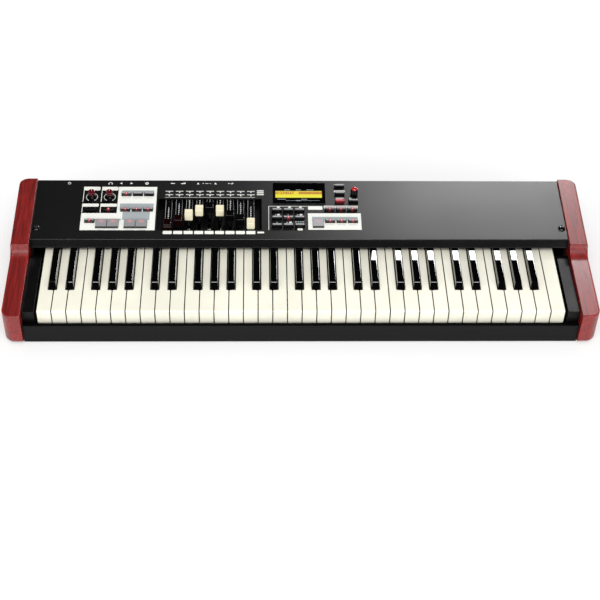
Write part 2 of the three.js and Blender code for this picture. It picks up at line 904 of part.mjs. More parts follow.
const buttonStrips = [
  ['buttons_left_pair', pairCaps, finishes.blackPlastic],
  ['buttons_left_upper_row', smallRowCaps(rowX, upperRow, 3), finishes.blackPlastic],
  ['buttons_left_middle_row', smallRowCaps(rowX, middleRow, 3), finishes.blackPlastic],
  [
    'buttons_left_lower_group',
    [...smallRowCaps(knobOneX, smallRow, 1), ...squareRowCaps(leftSquareX, lowerRow, 2)],
    finishes.grey,
  ],
  ['buttons_left_lower_pair', squareRowCaps(rightSquareX, lowerRow, 2), finishes.grey],
  ['buttons_number_grid', gridCaps(), finishes.blackPlastic],
  ['buttons_preset_row', smallRowCaps(plateTwoSmallX, presetRow, 3), finishes.blackPlastic],
  [
    'buttons_right_lower_group',
    [
      ...squareRowCaps(plateTwoSquareX, plateTwoSquareRow, 1),
      ...smallRowCaps(plateTwoSmallX, plateTwoSmallRow, 3),
    ],
    finishes.grey,
  ],
  ['buttons_menu_column', menuCaps, finishes.blackPlastic],
  ['button_record', smallRowCaps(menuX, menuFront, 1), finishes.red],
  ['button_play', smallRowCaps(playX, menuFront, 1), finishes.blackPlastic],
];

const stripTop = -deckSheet - seatGap;

function capSize(cap) {
  return {
    width: cap.square ? squareButton : buttonWidth,
    depth: cap.square ? squareButton : buttonDepth,
    rise: cap.square ? squareButtonRise : buttonRise,
  };
}

// A cap is a block whose top edges are bevelled all round.
function buttonCap(cap) {
  const { width, depth, rise } = capSize(cap);
  const c = buttonChamfer;
  const faceX = [
    [cap.x - width / 2, stripTop - buttonStrip / 2],
    [cap.x + width / 2, stripTop - buttonStrip / 2],
    [cap.x + width / 2, rise - c],
    [cap.x + width / 2 - c, rise],
    [cap.x - width / 2 + c, rise],
    [cap.x - width / 2, rise - c],
  ];
  const faceY = [
    [cap.v - depth / 2, stripTop - buttonStrip],
    [cap.v + depth / 2, stripTop - buttonStrip],
    [cap.v + depth / 2, rise - c],
    [cap.v + depth / 2 - c, rise],
    [cap.v - depth / 2 + c, rise],
    [cap.v - depth / 2, rise - c],
  ];
  const body = backward(faceX, cap.v - depth, cap.v + depth);
  return body.intersect(across(faceY, cap.x - width, cap.x + width));
}

function buttonStripSolid(caps) {
  const left = Math.min(...caps.map((cap) => cap.x - capSize(cap).width / 2)) - stripMargin;
  const right = Math.max(...caps.map((cap) => cap.x + capSize(cap).width / 2)) + stripMargin;
  const front = Math.min(...caps.map((cap) => cap.v - capSize(cap).depth / 2)) - stripMargin;
  const rear = Math.max(...caps.map((cap) => cap.v + capSize(cap).depth / 2)) + stripMargin;
  const strip = block(left, right, front, rear, stripTop - buttonStrip, stripTop);
  return joined([strip, ...caps.map(buttonCap)]);
}

function buttonHole(cap) {
  const { width, depth } = capSize(cap);
  const x = width / 2 + buttonClearance;
  const v = depth / 2 + buttonClearance;
  return block(cap.x - x, cap.x + x, cap.v - v, cap.v + v, -fasciaDrop / 2, cutOverrun);
}

for (const [name, caps, material] of buttonStrips) {
  place(deck, name, buttonStripSolid(caps), material);
}

// Knobs: a skirt, a cap with a raised pointer, and a shaft down to the board

const plateTop = seatGap + plateSheet;
const boardTop = -deckSheet - seatGap - buttonStrip - buttonTravel - switchHeight;

function knob(x, v, { radius, skirt, height, base }) {
  const shaftEnd = boardTop + seatGap;
  const skirtBase = base + seatGap;
  const skirtTop = skirtBase + knobSkirtHeight;
  const top = skirtBase + height;
  const profile = [
    [0, shaftEnd],
    [knobShaft, shaftEnd],
    [knobShaft, skirtBase],
    [skirt, skirtBase],
    [skirt, skirtTop - knobPointer],
    [radius, skirtTop],
    [radius - knobPointer / 2, top - knobPointer / 2],
    [radius - knobPointer, top],
    [0, top],
  ];
  const side = knobPointer / 2;
  const pointer = block(x - side, x + side, v, v + radius, top - knobPointer, top + side);
  return turnedUpright(profile, x, v, roundSides).add(pointer);
}

function shaftHole(x, v) {
  return rod(knobShaft + knobShaftClearance, x, v, -fasciaDrop / 2, cutOverrun, smallSides);
}

const knobForm = { radius: knobRadius, skirt: knobSkirt, height: knobHeight, base: plateTop };
const dialForm = { radius: dialRadius, skirt: dialRadius, height: dialHeight, base: 0 };
place(deck, 'volume_knob', knob(knobOneX, knobRow, knobForm), finishes.gloss);
place(deck, 'drive_knob', knob(knobTwoX, knobRow, knobForm), finishes.gloss);
place(deck, 'value_dial', knob(dialX, dialRow, dialForm), finishes.gloss);

// Printed plates that lie on the panel, with a hole for each cap and shaft

function controlPlate(left, right, front, rear) {
  const holes = buttonStrips.flatMap(([, caps]) => caps).map(buttonHole);
  holes.push(shaftHole(knobOneX, knobRow), shaftHole(knobTwoX, knobRow));
  return cutBy(block(left, right, front, rear, seatGap, plateTop), holes);
}

place(
  deck,
  'control_plate_left',
  controlPlate(plateLeft, plateLeft + plateWidth, plateFront, plateRear),
  finishes.print,
);
place(
  deck,
  'control_plate_right',
  controlPlate(plateTwoLeft, plateTwoRight, plateTwoNear, plateTwoFar),
  finishes.print,
);

// Display: a dark window on the panel, with the screen module behind it in a cut-out

const screenLeft = displayLeft + screenInset;
const screenRight = displayRight - screenInset;
const screenMiddle = displayFront + screenShare * displayDepth;
const screenFront = screenMiddle - screenDepth / 2;
const screenRear = screenMiddle + screenDepth / 2;

function displayModule() {
  const screen = block(screenLeft, screenRight, screenFront, screenRear, -screenBody, 0);
  const sheetTop = -deckSheet - seatGap;
  const sheet = block(
    screenLeft,
    screenRight,
    displayFront + screenInset,
    displayRear - screenInset,
    sheetTop - boardSheet,
    sheetTop,
  );
  return screen.add(sheet);
}

place(deck, 'display_module', displayModule(), finishes.screen);
place(
  deck,
  'display_window',
  block(displayLeft, displayRight, displayFront, displayRear, seatGap, seatGap + windowSheet),
  finishes.gloss,
);

// Drawbars: a dished cap on a flat bar, with a keel that runs in a slot of the tray

const barTop = -barDrop;
const barBottom = barTop - barThickness;
const trayFloor = -trayDepth;
const trayBottom = trayFloor - trayWall;
const keelBottom = trayBottom - keelReach;
const keelRearStep = (capLength - keelLength) / 2;

function drawbarX(i) {
  return firstDrawbar + i * drawbarPitch;
}

// Side view of a cap: its ends lean in a little and its top is dished for the finger.
function capSide(rear) {
  const front = rear - capLength;
  const middle = (front + rear) / 2;
  const reach = capLength / 2 - capLean;
  const radius = (reach * reach + capDish * capDish) / (2 * capDish);
  const span = Math.asin(reach / radius);
  const centre = capRise - capDish + radius;
  return [
    [front, barBottom],
    [rear, barBottom],
    ...arc(middle, centre, radius, -Math.PI / 2 + span, -Math.PI / 2 - span),
  ];
}

function drawbar(i) {
  const x = drawbarX(i);
  const rear = capIn - pulledShares[i] * drawbarTravel;
  const cap = across(capSide(rear), x - capWidth / 2, x + capWidth / 2);
  const side = barWidth / 2;
  const bar = block(x - side, x + side, rear - capLean, rear + barLength, barBottom, barTop);
  const keelRear = rear - keelRearStep;
  const keel = block(
    x - keelWidth / 2,
    x + keelWidth / 2,
    keelRear - keelLength,
    keelRear,
    keelBottom,
    barBottom + barThickness / 2,
  );
  return joined([cap, bar, keel]);
}

function drawbarTray() {
  const outer = block(
    recessLeft - trayWall,
    recessRight + trayWall,
    recessFront - trayWall,
    recessRear + trayWall,
    trayBottom,
    -deckSheet - seatGap,
  );
  const well = block(recessLeft, recessRight, recessFront, recessRear, trayFloor, cutOverrun);
  const rearMouth = block(
    recessLeft,
    recessRight,
    recessRear - trayWall,
    recessRear + cutOverrun,
    barBottom - seatGap,
    cutOverrun,
  );
  const slots = Array.from({ length: drawbarCount }, (_, i) => block(
    drawbarX(i) - keelWidth / 2 - keelClearance,
    drawbarX(i) + keelWidth / 2 + keelClearance,
    capOut - keelRearStep - keelLength - keelClearance,
    capIn - keelRearStep + keelClearance,
    trayBottom - cutOverrun,
    trayFloor + cutOverrun,
  ));
  return cutBy(outer, [well, rearMouth, ...slots]);
}

const drawbarFinishes = ['brown', 'brown', 'ivory', 'ivory', 'gloss', 'ivory', 'gloss', 'gloss', 'ivory'];
for (let i = 0; i < drawbarCount; i += 1) {
  place(deck, `drawbar_${i + 1}`, drawbar(i), finishes[drawbarFinishes[i]]);
}
place(deck, 'drawbar_tray', drawbarTray(), finishes.blackPlastic);

// Top panel: one folded sheet, its front turned down as a slanted fascia and back as a flange

function topPanel() {
  const t = deckSheet;
  const slant = Math.hypot(fasciaLean, fasciaDrop);
  const innerFoot = -fasciaLean + (fasciaDrop * t) / slant;
  const innerFall = fasciaDrop + (fasciaLean * t) / slant;
  const innerAt = (h) => innerFoot + (fasciaLean * (h + innerFall)) / fasciaDrop;
  const profile = [
    [deckLength, 0],
    [0, 0],
    [-fasciaLean, -fasciaDrop],
    [fasciaFlange, -fasciaDrop],
    [fasciaFlange, t - fasciaDrop],
    [innerAt(t - fasciaDrop), t - fasciaDrop],
    [innerAt(-t), -t],
    [deckLength, -t],
  ];
  const sheet = across(profile, -innerHalf, innerHalf);
  const holes = buttonStrips.flatMap(([, caps]) => caps).map(buttonHole);
  holes.push(shaftHole(knobOneX, knobRow), shaftHole(knobTwoX, knobRow), shaftHole(dialX, dialRow));
  holes.push(block(recessLeft, recessRight, recessFront, recessRear, -fasciaDrop / 2, cutOverrun));
  holes.push(block(
    screenLeft - screenClearance,
    screenRight + screenClearance,
    screenFront - screenClearance,
    screenRear + screenClearance,
    -fasciaDrop / 2,
    cutOverrun,
  ));
  return cutBy(sheet, holes);
}

place(deck, 'top_panel', topPanel(), finishes.blackMetal);

// Boards under the panel hang from four posts each

function panelBoard(left, right, front, rear) {
  const board = block(left, right, front, rear, boardTop - boardSheet, boardTop);
  const posts = [];
  for (const x of [left + postRadius, right - postRadius]) {
    for (const v of [front + postRadius, rear - postRadius]) {
      posts.push(rod(postRadius, x, v, boardTop - boardSheet / 2, -deckSheet - seatGap, bossSides));
    }
  }
  return joined([board, ...posts]);
}

const leftBoardRight = recessLeft - trayWall - boardInset;
const rightBoardLeft = displayLeft - 2 * boardInset;
const rightBoardRear = displayRear + boardInset / 2;
place(
  deck,
  'panel_board_left',
  panelBoard(plateLeft - boardInset, leftBoardRight, plateFront - boardInset, plateRear),
  finishes.board,
);
place(
  deck,
  'panel_board_right',
  panelBoard(rightBoardLeft, plateTwoRight, plateFront - boardInset, rightBoardRear),
  finishes.board,
);

// Rear sockets stand on one board and look out through the rear panel

function stripX(share) {
  return stripLeft + share * socketStrip;
}

const jackShares = [phonesShare, lineLeftShare, lineRightShare, footSwitchShare, pedalShare];
const dinShares = [rotaryShare, midiOutShare, midiInShare];
const socketBack = rearFace - seatGap;
const noseEnd = deckRear + noseReach;
const jackAxis = socketFloor + jackBodyHeight / 2;
const dinAxis = socketFloor + dinBody / 2;
const usbAxis = socketFloor + usbBodyHeight / 2;
const inletAxis = socketFloor + inletHeight / 2;
const sunk = boardSheet / 2;

function jackSocket(x) {
  const w = jackBodyWidth / 2;
  const top = socketFloor + jackBodyHeight;
  const body = block(x - w, x + w, socketBack - jackBodyDepth, socketBack, socketFloor - sunk, top);
  const nose = rodAlongY(jackNose, x, jackAxis, socketBack - seatGap, noseEnd, smallSides);
  const bore = rodAlongY(jackBore, x, jackAxis, noseEnd - jackBoreDepth, noseEnd + cutOverrun, smallSides);
  return body.add(nose).subtract(bore);
}

function dinSocket(x) {
  const w = dinBody / 2;
  const body = block(x - w, x + w, socketBack - dinDepth, socketBack, socketFloor - sunk, dinAxis + w);
  const nose = rodAlongY(dinNose, x, dinAxis, socketBack - seatGap, deckRear, roundSides);
  const bore = rodAlongY(dinBore, x, dinAxis, deckRear - dinBoreDepth, deckRear + cutOverrun, roundSides);
  return body.add(nose).subtract(bore);
}

function usbSocket(x) {
  const w = usbBodyWidth / 2;
  const top = socketFloor + usbBodyHeight;
  const body = block(x - w, x + w, socketBack - usbBodyDepth, socketBack, socketFloor - sunk, top);
  const r = usbHole / 2 + usbWall;
  const q = usbHole / 2;
  const nose = block(x - r, x + r, socketBack - seatGap, deckRear, usbAxis - r, usbAxis + r);
  const end = deckRear + cutOverrun;
  const bore = block(x - q, x + q, deckRear - usbBodyDepth / 2, end, usbAxis - q, usbAxis + q);
  return body.add(nose).subtract(bore);
}

function jackBoard() {
  const sheet = block(
    jackBoardLeft,
    jackBoardRight,
    jackBoardFront,
    socketBack,
    socketFloor - boardSheet,
    socketFloor,
  );
  const sockets = [
    ...jackShares.map((share) => jackSocket(stripX(share))),
    ...dinShares.map((share) => dinSocket(stripX(share))),
    usbSocket(stripX(usbShare)),
  ];
  return joined([sheet, ...sockets]);
}

const inletX = stripX(inletShare);
const rockerX = stripX(rockerShare);
const rockerPivotY = socketBack - rockerPivotStep;

function powerInlet() {
  const body = block(inletLeft, inletRight, inletFront, socketBack, socketFloor, socketFloor + inletHeight);
  const nose = rodAlongY(inletNose, inletX, inletAxis, socketBack - seatGap, noseEnd, smallSides);
  const end = noseEnd + cutOverrun;
  const bore = rodAlongY(inletBore, inletX, inletAxis, noseEnd - inletBoreDepth, end, plainSides);
  const w = rockerWidth / 2 + rockerClearance;
  const h = rockerHeight / 2 + 2 * rockerClearance;
  const pocket = block(
    rockerX - w,
    rockerX + w,
    socketBack - rockerPocket,
    socketBack + cutOverrun,
    inletAxis - h,
    inletAxis + h,
  );
  return cutBy(body.add(nose), [bore, pocket]);
}

// The rocker's outer face is two planes that meet over the pivot; it rests with its foot pressed in.
function rocker() {
  const back = -rockerPivotStep;
  const middle = rockerPivotStep + rockerThickness / 2 - seatGap;
  const tip = middle + Math.tan(rockerTilt) * (rockerHeight / 2);
  const tall = rockerHeight / 2;
  const profile = [[back, -tall], [back, tall], [tip, tall], [middle, 0], [tip, -tall]];
  const points = profile.map(([y, z]) => {
    const turnedY = y * Math.cos(rockerTilt) + z * Math.sin(rockerTilt);
    const turnedZ = z * Math.cos(rockerTilt) - y * Math.sin(rockerTilt);
    return [rockerPivotY + turnedY, inletAxis + turnedZ];
  });
  return across(points, rockerX - rockerWidth / 2, rockerX + rockerWidth / 2);
}

place(organ, 'jack_board', jackBoard(), finishes.blackPlastic);
place(organ, 'power_inlet', powerInlet(), finishes.blackPlastic);
place(organ, 'power_rocker', rocker(), finishes.blackPlastic);

// Main board on its bosses, with a few tall parts on it
function mainBoard() {
  const rear = rearFace - rearRoom;
  const top = mainBoardBottom + boardSheet;
  const sheet = block(mainBoardLeft, mainBoardRight, mainBoardFront, rear, mainBoardBottom, top);
  const width = mainBoardRight - mainBoardLeft;
  const chips = chipShares.map(([xShare, yShare, sizeShare]) => {
    const x = mainBoardLeft + xShare * width;
    const y = mainBoardFront + yShare * mainBoardDepth;
    const r = (sizeShare * width) / 2;
    return block(x - r, x + r, y - r, y + r, top - boardSheet / 2, top + chipHeight);
  });
  return joined([sheet, ...chips]);
}

place(organ, 'main_board', mainBoard(), finishes.board);

// Rear panel under the deck's rear edge, with an opening for each socket
function rearPanel() {
  const under = deckPoint((rearFace - deckFront) / Math.cos(deckSlope), -deckSheet);
  const top = under.z - 2 * seatGap;
  const sheet = block(-innerHalf, innerHalf, rearFace, deckRear, footHeight, top);
  const fore = rearFace - cutOverrun;
  const aft = deckRear + cutOverrun;
  const holes = [];
  for (const share of jackShares) {
    holes.push(rodAlongY(jackNose + seatGap, stripX(share), jackAxis, fore, aft, smallSides));
  }
  for (const share of dinShares) {
    holes.push(rodAlongY(dinNose + seatGap, stripX(share), dinAxis, fore, aft, roundSides));
  }
  holes.push(rodAlongY(inletNose + seatGap, inletX, inletAxis, fore, aft, smallSides));
  const u = usbHole / 2 + usbWall + seatGap;
  const usbX = stripX(usbShare);
  holes.push(block(usbX - u, usbX + u, fore, aft, usbAxis - u, usbAxis + u));
  const w = rockerWidth / 2 + rockerClearance;
  const h = rockerHeight / 2 + 2 * rockerClearance;
  holes.push(block(rockerX - w, rockerX + w, fore, aft, inletAxis - h, inletAxis + h));
  return cutBy(sheet, holes);
}

place(organ, 'rear_panel', rearPanel(), finishes.blackMetal);

export default organ;
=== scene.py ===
"""Portable drawbar organ: the finished surfaces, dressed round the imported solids.

X runs along the keyboard, Y to the back and Z up, all in metres. The control deck slopes, so a place on it is
(x, v, h): v runs up the slope from the deck's front edge and h stands square to the panel.
"""
import json
import math
from collections import namedtuple

import bmesh
import bpy
import numpy as np
from mathutils import Matrix, Vector


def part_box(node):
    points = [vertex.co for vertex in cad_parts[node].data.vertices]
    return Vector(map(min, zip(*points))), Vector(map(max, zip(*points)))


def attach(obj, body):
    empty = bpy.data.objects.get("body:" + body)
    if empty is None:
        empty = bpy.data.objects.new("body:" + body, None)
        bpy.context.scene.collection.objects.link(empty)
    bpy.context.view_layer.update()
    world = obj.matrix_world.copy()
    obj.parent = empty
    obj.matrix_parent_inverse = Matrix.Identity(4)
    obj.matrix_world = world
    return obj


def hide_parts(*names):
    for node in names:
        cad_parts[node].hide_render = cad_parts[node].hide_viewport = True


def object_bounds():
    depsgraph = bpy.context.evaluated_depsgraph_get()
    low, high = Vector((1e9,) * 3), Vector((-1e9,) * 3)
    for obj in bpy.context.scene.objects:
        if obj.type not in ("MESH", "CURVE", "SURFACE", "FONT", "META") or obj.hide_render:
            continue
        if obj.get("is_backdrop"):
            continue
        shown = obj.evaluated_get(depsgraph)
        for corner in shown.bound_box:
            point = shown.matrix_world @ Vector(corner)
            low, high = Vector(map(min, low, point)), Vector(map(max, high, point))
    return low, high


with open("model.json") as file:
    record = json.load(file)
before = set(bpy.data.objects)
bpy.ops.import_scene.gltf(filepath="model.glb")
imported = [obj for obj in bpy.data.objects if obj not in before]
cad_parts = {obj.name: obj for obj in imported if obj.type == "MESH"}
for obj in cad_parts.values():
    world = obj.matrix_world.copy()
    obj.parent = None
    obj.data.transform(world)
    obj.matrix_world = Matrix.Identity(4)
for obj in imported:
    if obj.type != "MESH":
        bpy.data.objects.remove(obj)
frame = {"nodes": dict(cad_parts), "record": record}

bl_info = {
    "name": "Drawbar organ",
    "version": (1, 0, 0),
    "blender": (4, 5, 0),
    "location": "View3D > Sidebar > Organ",
    "description": "Builds the finished surfaces of a portable drawbar organ round its solids",
    "category": "Add Mesh",
}

MM = 0.001
INK_EDGE = 0.03 * MM
CAD_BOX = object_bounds()
OCTAVES = 5
QUARTER = math.pi / 2


# Sizes and colours that a user would change

def length(label, mm, text):
    return bpy.props.FloatProperty(name=label, description=text, default=mm * MM, unit="LENGTH", precision=4)


def angle(label, degrees, text):
    value = math.radians(degrees)
    return bpy.props.FloatProperty(name=label, description=text, default=value, unit="ROTATION")


def number(label, value, text):
    return bpy.props.FloatProperty(name=label, description=text, default=value)


def share(label, value, text):
    return bpy.props.FloatProperty(name=label, description=text, default=value, subtype="FACTOR")


def colour(label, red, green, blue, text):
    """A colour written as it looks on a screen, each part from 0 to 255."""
    return bpy.props.FloatVectorProperty(
        name=label, description=text, subtype="COLOR_GAMMA", size=3, min=0, max=1,
        default=(red / 255, green / 255, blue / 255),
    )


class OrganKeySizes(bpy.types.PropertyGroup):
    pitch: length("Key pitch", 23.5, "Middle of one white key to the middle of the next")
    gap: length("Key gap", 1.0, "Gap between two white keys")
    side_relief: length("Side relief", 0.25, "How far a key's edges stand back from its solid on each side")
    body: length("Key thickness", 12.0, "Height of a white key behind its lip")
    lip_wall: length("Lip thickness", 2.5, "Wall of the lip that hangs down in front")
    nose: length("Nose radius", 2.5, "Rounding between a white key's top and its lip")
    edge: length("Key edge", 0.7, "Rounding of a white key's long edges")
    sharp_foot: length("Sharp width", 13.2, "Width of a black key level with the white keys")
    sharp_top: length("Sharp top width", 10.6, "Width of a black key's top")
    sharp_gap: length("Sharp gap", 0.6, "Gap beside a black key")
    sharp_height: length("Sharp height", 10.0, "Height of a black key over the white keys")
    sharp_lean: length("Sharp lean", 8.0, "How far a black key's front leans back")
    sharp_edge: length("Sharp edge", 0.7, "Rounding of a black key's top edges")
    sharp_length: length("Sharp length", 102.0, "Length of a black key at its full height")
    sharp_ramp: length("Sharp ramp", 14.0, "Length of the ramp behind a black key")
    spine: length("Spine depth", 12.0, "Depth of the hinge spine that joins an octave's keys")
    spine_step: length("Spine step", 2.0, "Step in front of the spine")
    spine_height: length("Spine height", 5.5, "Height of each hinge spine")


class OrganCaseSizes(bpy.types.PropertyGroup):
    deck_front: length("Deck front", 12.0, "Where the deck starts, in Y")
    deck_height: length("Deck height", 81.5, "Height of the deck's front edge")
    deck_sheet: length("Deck sheet", 2.0, "Thickness of the folded top panel")
    deck_bend: length("Deck bend", 1.6, "Radius of the top panel's front bend")
    fascia_drop: length("Fascia drop", 11.6, "Height of the slanted fascia over the keys")
    fascia_lean: length("Fascia lean", 10.8, "How far the fascia leans forward")
    fascia_flange: length("Fascia flange", 10.0, "Where the flange under the fascia ends")
    cheek_cove: length("Cheek cove", 24.0, "Radius of the cove in front of the deck")
    cheek_cove_drop: length("Cove drop", 14.8, "Height of the cove")
    cheek_front: length("Cheek front corner", 18.0, "Radius of the cheek's front corner, seen from above")
    cheek_rear: length("Cheek rear corner", 16.0, "Radius of the cheek's rear corner, seen from above")
    cheek_drop: length("Cheek arm drop", 2.2, "How far the cheek's arm drops to the front")
    cheek_shoulder: length("Cheek shoulder", 16.0, "Cheek shoulder in front of the deck's edge")
    cheek_rise: length("Cheek rise", 3.65, "Cheek top over the deck")
    cheek_end: length("Cheek end rounding", 3.0, "Rounding at both ends of the cheek's top")
    cheek_toe: length("Cheek toe", 9.0, "Rounding under the cheek's front")
    cheek_inner: length("Cheek inner edge", 0.8, "Rounding of the edges on the keyboard's side")
    cheek_outer: length("Cheek outer edge", 2.6, "Rounding of the edges on the outside")
    rail_sheet: length("Rail sheet", 2.0, "Thickness of the front rail")
    skirt: length("Skirt", 2.0, "How far the rail and the cheeks reach below their solids")
    rail_bend: length("Rail bend", 1.8, "Radius of the rail's top bend")
    block_edge: length("Block edge", 1.5, "Bevel of the end blocks")


class OrganControlSizes(bpy.types.PropertyGroup):
    cap_clearance: length("Cap clearance", 0.4, "Gap round a button in the panel")
    small_rise: length("Small button height", 5.2, "Height of a small button over the panel")
    square_rise: length("Square button height", 4.6, "Height of a square button over the panel")
    strip: length("Strip thickness", 2.0, "Thickness of a button strip")
    plate: length("Plate thickness", 0.8, "Thickness of a printed plate")
    window: length("Window thickness", 1.2, "Thickness of the display window")
    print_rise: length("Print thickness", 0.08, "How far a printed mark stands off what it is printed on")
    bar_width: length("Drawbar width", 11.8, "Width of a drawbar's flat bar")
    bar_top: length("Drawbar top", -4.5, "Height of the flat bar under the panel")
    bar_sheet: length("Drawbar sheet", 3.0, "Thickness of the flat bar")
    cap_length: length("Drawbar cap", 16.7, "Length of a drawbar's cap")
    cap_rise: length("Drawbar cap height", 10.0, "Height of a drawbar's cap over the panel")
    cap_bottom: length("Drawbar cap bottom", -2.0, "Height of the cap's lower edge against the panel")
    cap_dish: length("Drawbar dish", 0.6, "Depth of the dish for the finger")
    cap_lean: length("Drawbar lean", 1.5, "How far both ends of a cap lean in")
    keel_width: length("Drawbar keel", 4.0, "Width of the keel that runs in the tray's slot")
    keel_length: length("Keel length", 12.0, "Length of that keel")


class OrganColours(bpy.types.PropertyGroup):
    wood: colour("Wood", 160, 26, 20, "Lacquered cheeks, the lighter grain")
    wood_dark: colour("Wood grain", 100, 12, 10, "Lacquered cheeks, the darker grain")
    panel: colour("Panel", 19, 19, 20, "Painted steel of the deck and rail")
    plastic: colour("Black plastic", 14, 14, 15, "End blocks, trays and sockets")
    white_key: colour("White keys", 249, 246, 228, "White keys")
    # Painted shade: the keys' upright sides are darkened to stand in for the shade in the narrow gaps between
    # keys.
    key_side: colour("Key sides", 84, 72, 54, "Upright sides of the white keys, in the gaps")
    sharp: colour("Black keys", 6, 6, 7, "Black keys")
    cap_white: colour("White drawbars", 240, 232, 200, "White drawbar caps")
    cap_brown: colour("Brown drawbars", 22, 4, 5, "Brown drawbar caps")
    cap_black: colour("Black drawbars", 7, 7, 8, "Black drawbar caps")
    print_white: colour("White print", 247, 248, 240, "Printed plates and marks")
    print_grey: colour("Grey print", 170, 178, 182, "Grey fields on the printed plates")
    print_pale: colour("Pale print", 224, 224, 219, "Rules and scales on the black panel")
    # Painted highlight: the dimmer of the two lines that stand in for the light on a drawbar's edges.
    print_dim: colour("Dim print", 104, 104, 108, "Fine lines on the drawbars")
    key_grey: colour("Grey buttons", 148, 147, 149, "Square buttons")
    red: colour("Red plastic", 186, 22, 34, "Record button")
    knob: colour("Knob tops", 92, 14, 26, "Tops of the two knobs")
    # Painted highlight and painted shade: the paler red on the record button's top stands in for light, the
    # darker red on its sides for shade.
    record_pale: colour("Pale red plastic", 226, 120, 132, "Record button, where the light catches it")
    record_dark: colour("Dark red plastic", 110, 8, 18, "Record button's sides")
    # Painted highlight: a black cap's top is pale grey in a band, standing in for the light that the top
    # catches.
    cap_grey: colour("Grey cap tops", 172, 174, 176, "Tops of the small buttons")
    lamp: colour("Lamp", 255, 46, 52, "Lit lamps in the buttons")
    lamp_core: colour("Lamp core", 255, 186, 190, "Brightest part of a lit lamp")
    screen: colour("Display", 224, 218, 34, "Lit display")
    screen_mark: colour("Display marks", 176, 78, 6, "Characters on the display")
    steel: colour("Plated steel", 176, 178, 180, "Key frame, nuts and screws")
    board: colour("Circuit board", 22, 74, 40, "Circuit boards")
    felt: colour("Felt", 112, 26, 32, "Felt under the keys")
    rubber: colour("Rubber", 24, 24, 25, "Feet")


class OrganStageSizes(bpy.types.PropertyGroup):
    camera_x: length("Camera X", -73.25, "Camera place")
    camera_y: length("Camera Y", -1690.03, "Camera place")
    camera_z: length("Camera Z", 1668.19, "Camera place")
    lens: number("Lens", 84.373, "Focal length in mm")
    pitch: angle("Pitch", 45.435, "How far the camera looks down")
    yaw: angle("Yaw", -2.5315, "How far the camera is turned to the left")
    roll: angle("Roll", 1.7849, "How far the camera is rolled")
    floor: length("Floor", 6000.0, "Half the floor's width")
    world: share("Sky strength", 0.45, "Strength of the even light from all sides")
    flag_edge: angle("Flag edge", 20, "Height over the horizon where the black flag overhead starts")
    flag_left_edge: angle("Flag edge behind", 8, "Height where the flag starts behind, left")
    flag_rear_edge: angle("Flag edge at the rear", 44.73, "Height where the flag starts behind, right")
    rear_power: number("Rear box", 65.0, "Power in watts of the strip light behind, right")
    top_power: number("Top box", 4.0, "Power in watts of the soft box overhead")
    middle_power: number("Middle box", 54.0, "Power in watts of the soft box over the camera")
    front_power: number("Front boxes", 19.0, "Power in watts of each soft box in front")


GROUPS = {
    "organ_keys": OrganKeySizes,
    "organ_case": OrganCaseSizes,
    "organ_controls": OrganControlSizes,
    "organ_colours": OrganColours,
    "organ_stage": OrganStageSizes,
}


# Places read from the frame

def box(node):
    """Lowest and highest corner of a solid, as arrays."""
    low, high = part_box(node)
    return np.array(low), np.array(high)


def deck_frame():
    """The deck's front edge and slope: the slope's tangent is the panel's rise over its run."""
    case = bpy.context.scene.organ_case
    _, high = box("top_panel")
    front = np.array([0, case.deck_front, case.deck_height])
    return front, math.atan2(high[2] - case.deck_height, high[1] - case.deck_front)


def from_deck(points):
    """Deck places (x, v, h) in the frame: y = front + v cos a - h sin a, z = height + v sin a + h cos a."""
    front, a = deck_frame()
    x, v, h = np.moveaxis(np.asarray(points, float), -1, 0)
    turned = np.stack([x, v * math.cos(a) - h * math.sin(a), v * math.sin(a) + h * math.cos(a)], -1)
    return turned + front


def deck_points(node):
    """A solid's points as deck places, the inverse of from_deck."""
    front, a = deck_frame()
    mesh = frame["nodes"][node].data
    flat = np.zeros(len(mesh.vertices) * 3, np.float32)
    mesh.vertices.foreach_get("co", flat)
    x, y, z = (flat.reshape(-1, 3).astype(float) - front).T
    return np.stack([x, y * math.cos(a) + z * math.sin(a), z * math.cos(a) - y * math.sin(a)], -1)


def deck_box(node):
    points = deck_points(node)
    return points.min(0), points.max(0)


def middle_of(node):
    low, high = deck_box(node)
    return (low[0] + high[0]) / 2, (low[1] + high[1]) / 2


Cap = namedtuple("Cap", "left right front rear rise row")


def caps_of(node):
    """The caps of a button strip, from the corners of their top faces.

    The corners of one row share two values of v and come in pairs of x, so sorting both gives rectangles.
    """
    sizes = bpy.context.scene.organ_controls
    bevel = 0.8 * MM
    points = deck_points(node)
    caps = []
    for rise in (sizes.small_rise, sizes.square_rise):
        top = points[np.abs(points[:, 2] - rise) < 0.02 * MM]
        for cap in caps:
            top = top[~inside(top, cap.left - bevel, cap.right + bevel, cap.front - bevel, cap.rear + bevel)]
        if not len(top):
            continue
        xs = np.unique(np.round(top[:, 0] / MM, 2)).reshape(-1, 2) * MM
        vs = np.unique(np.round(top[:, 1] / MM, 2)).reshape(-1, 2) * MM
        for row, (front, rear) in enumerate(vs):
            for left, right in xs:
                caps.append(Cap(left - bevel, right + bevel, front - bevel, rear + bevel, rise, row))
    return caps


def is_small(cap):
    return abs(cap.rise - bpy.context.scene.organ_controls.small_rise) < 0.01 * MM


def opening(name):
    """Middle of a socket's opening, as (x, z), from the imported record."""
    stated = frame["record"]["physics"]["openings"]
    low, high = next(o["box_m"] for o in stated if o["name"] == f"{name}_socket")
    return (low[0] + high[0]) / 2, (low[2] + high[2]) / 2


# Surfaces, worked out as whole arrays

def arc(centre, radius, start, end, steps=5):
    """Points on a circle: centre plus radius times (cos t, sin t), with t even from start to end."""
    t = np.linspace(start, end, steps + 1)
    return np.stack([centre[0] + radius * np.cos(t), centre[1] + radius * np.sin(t)], -1)


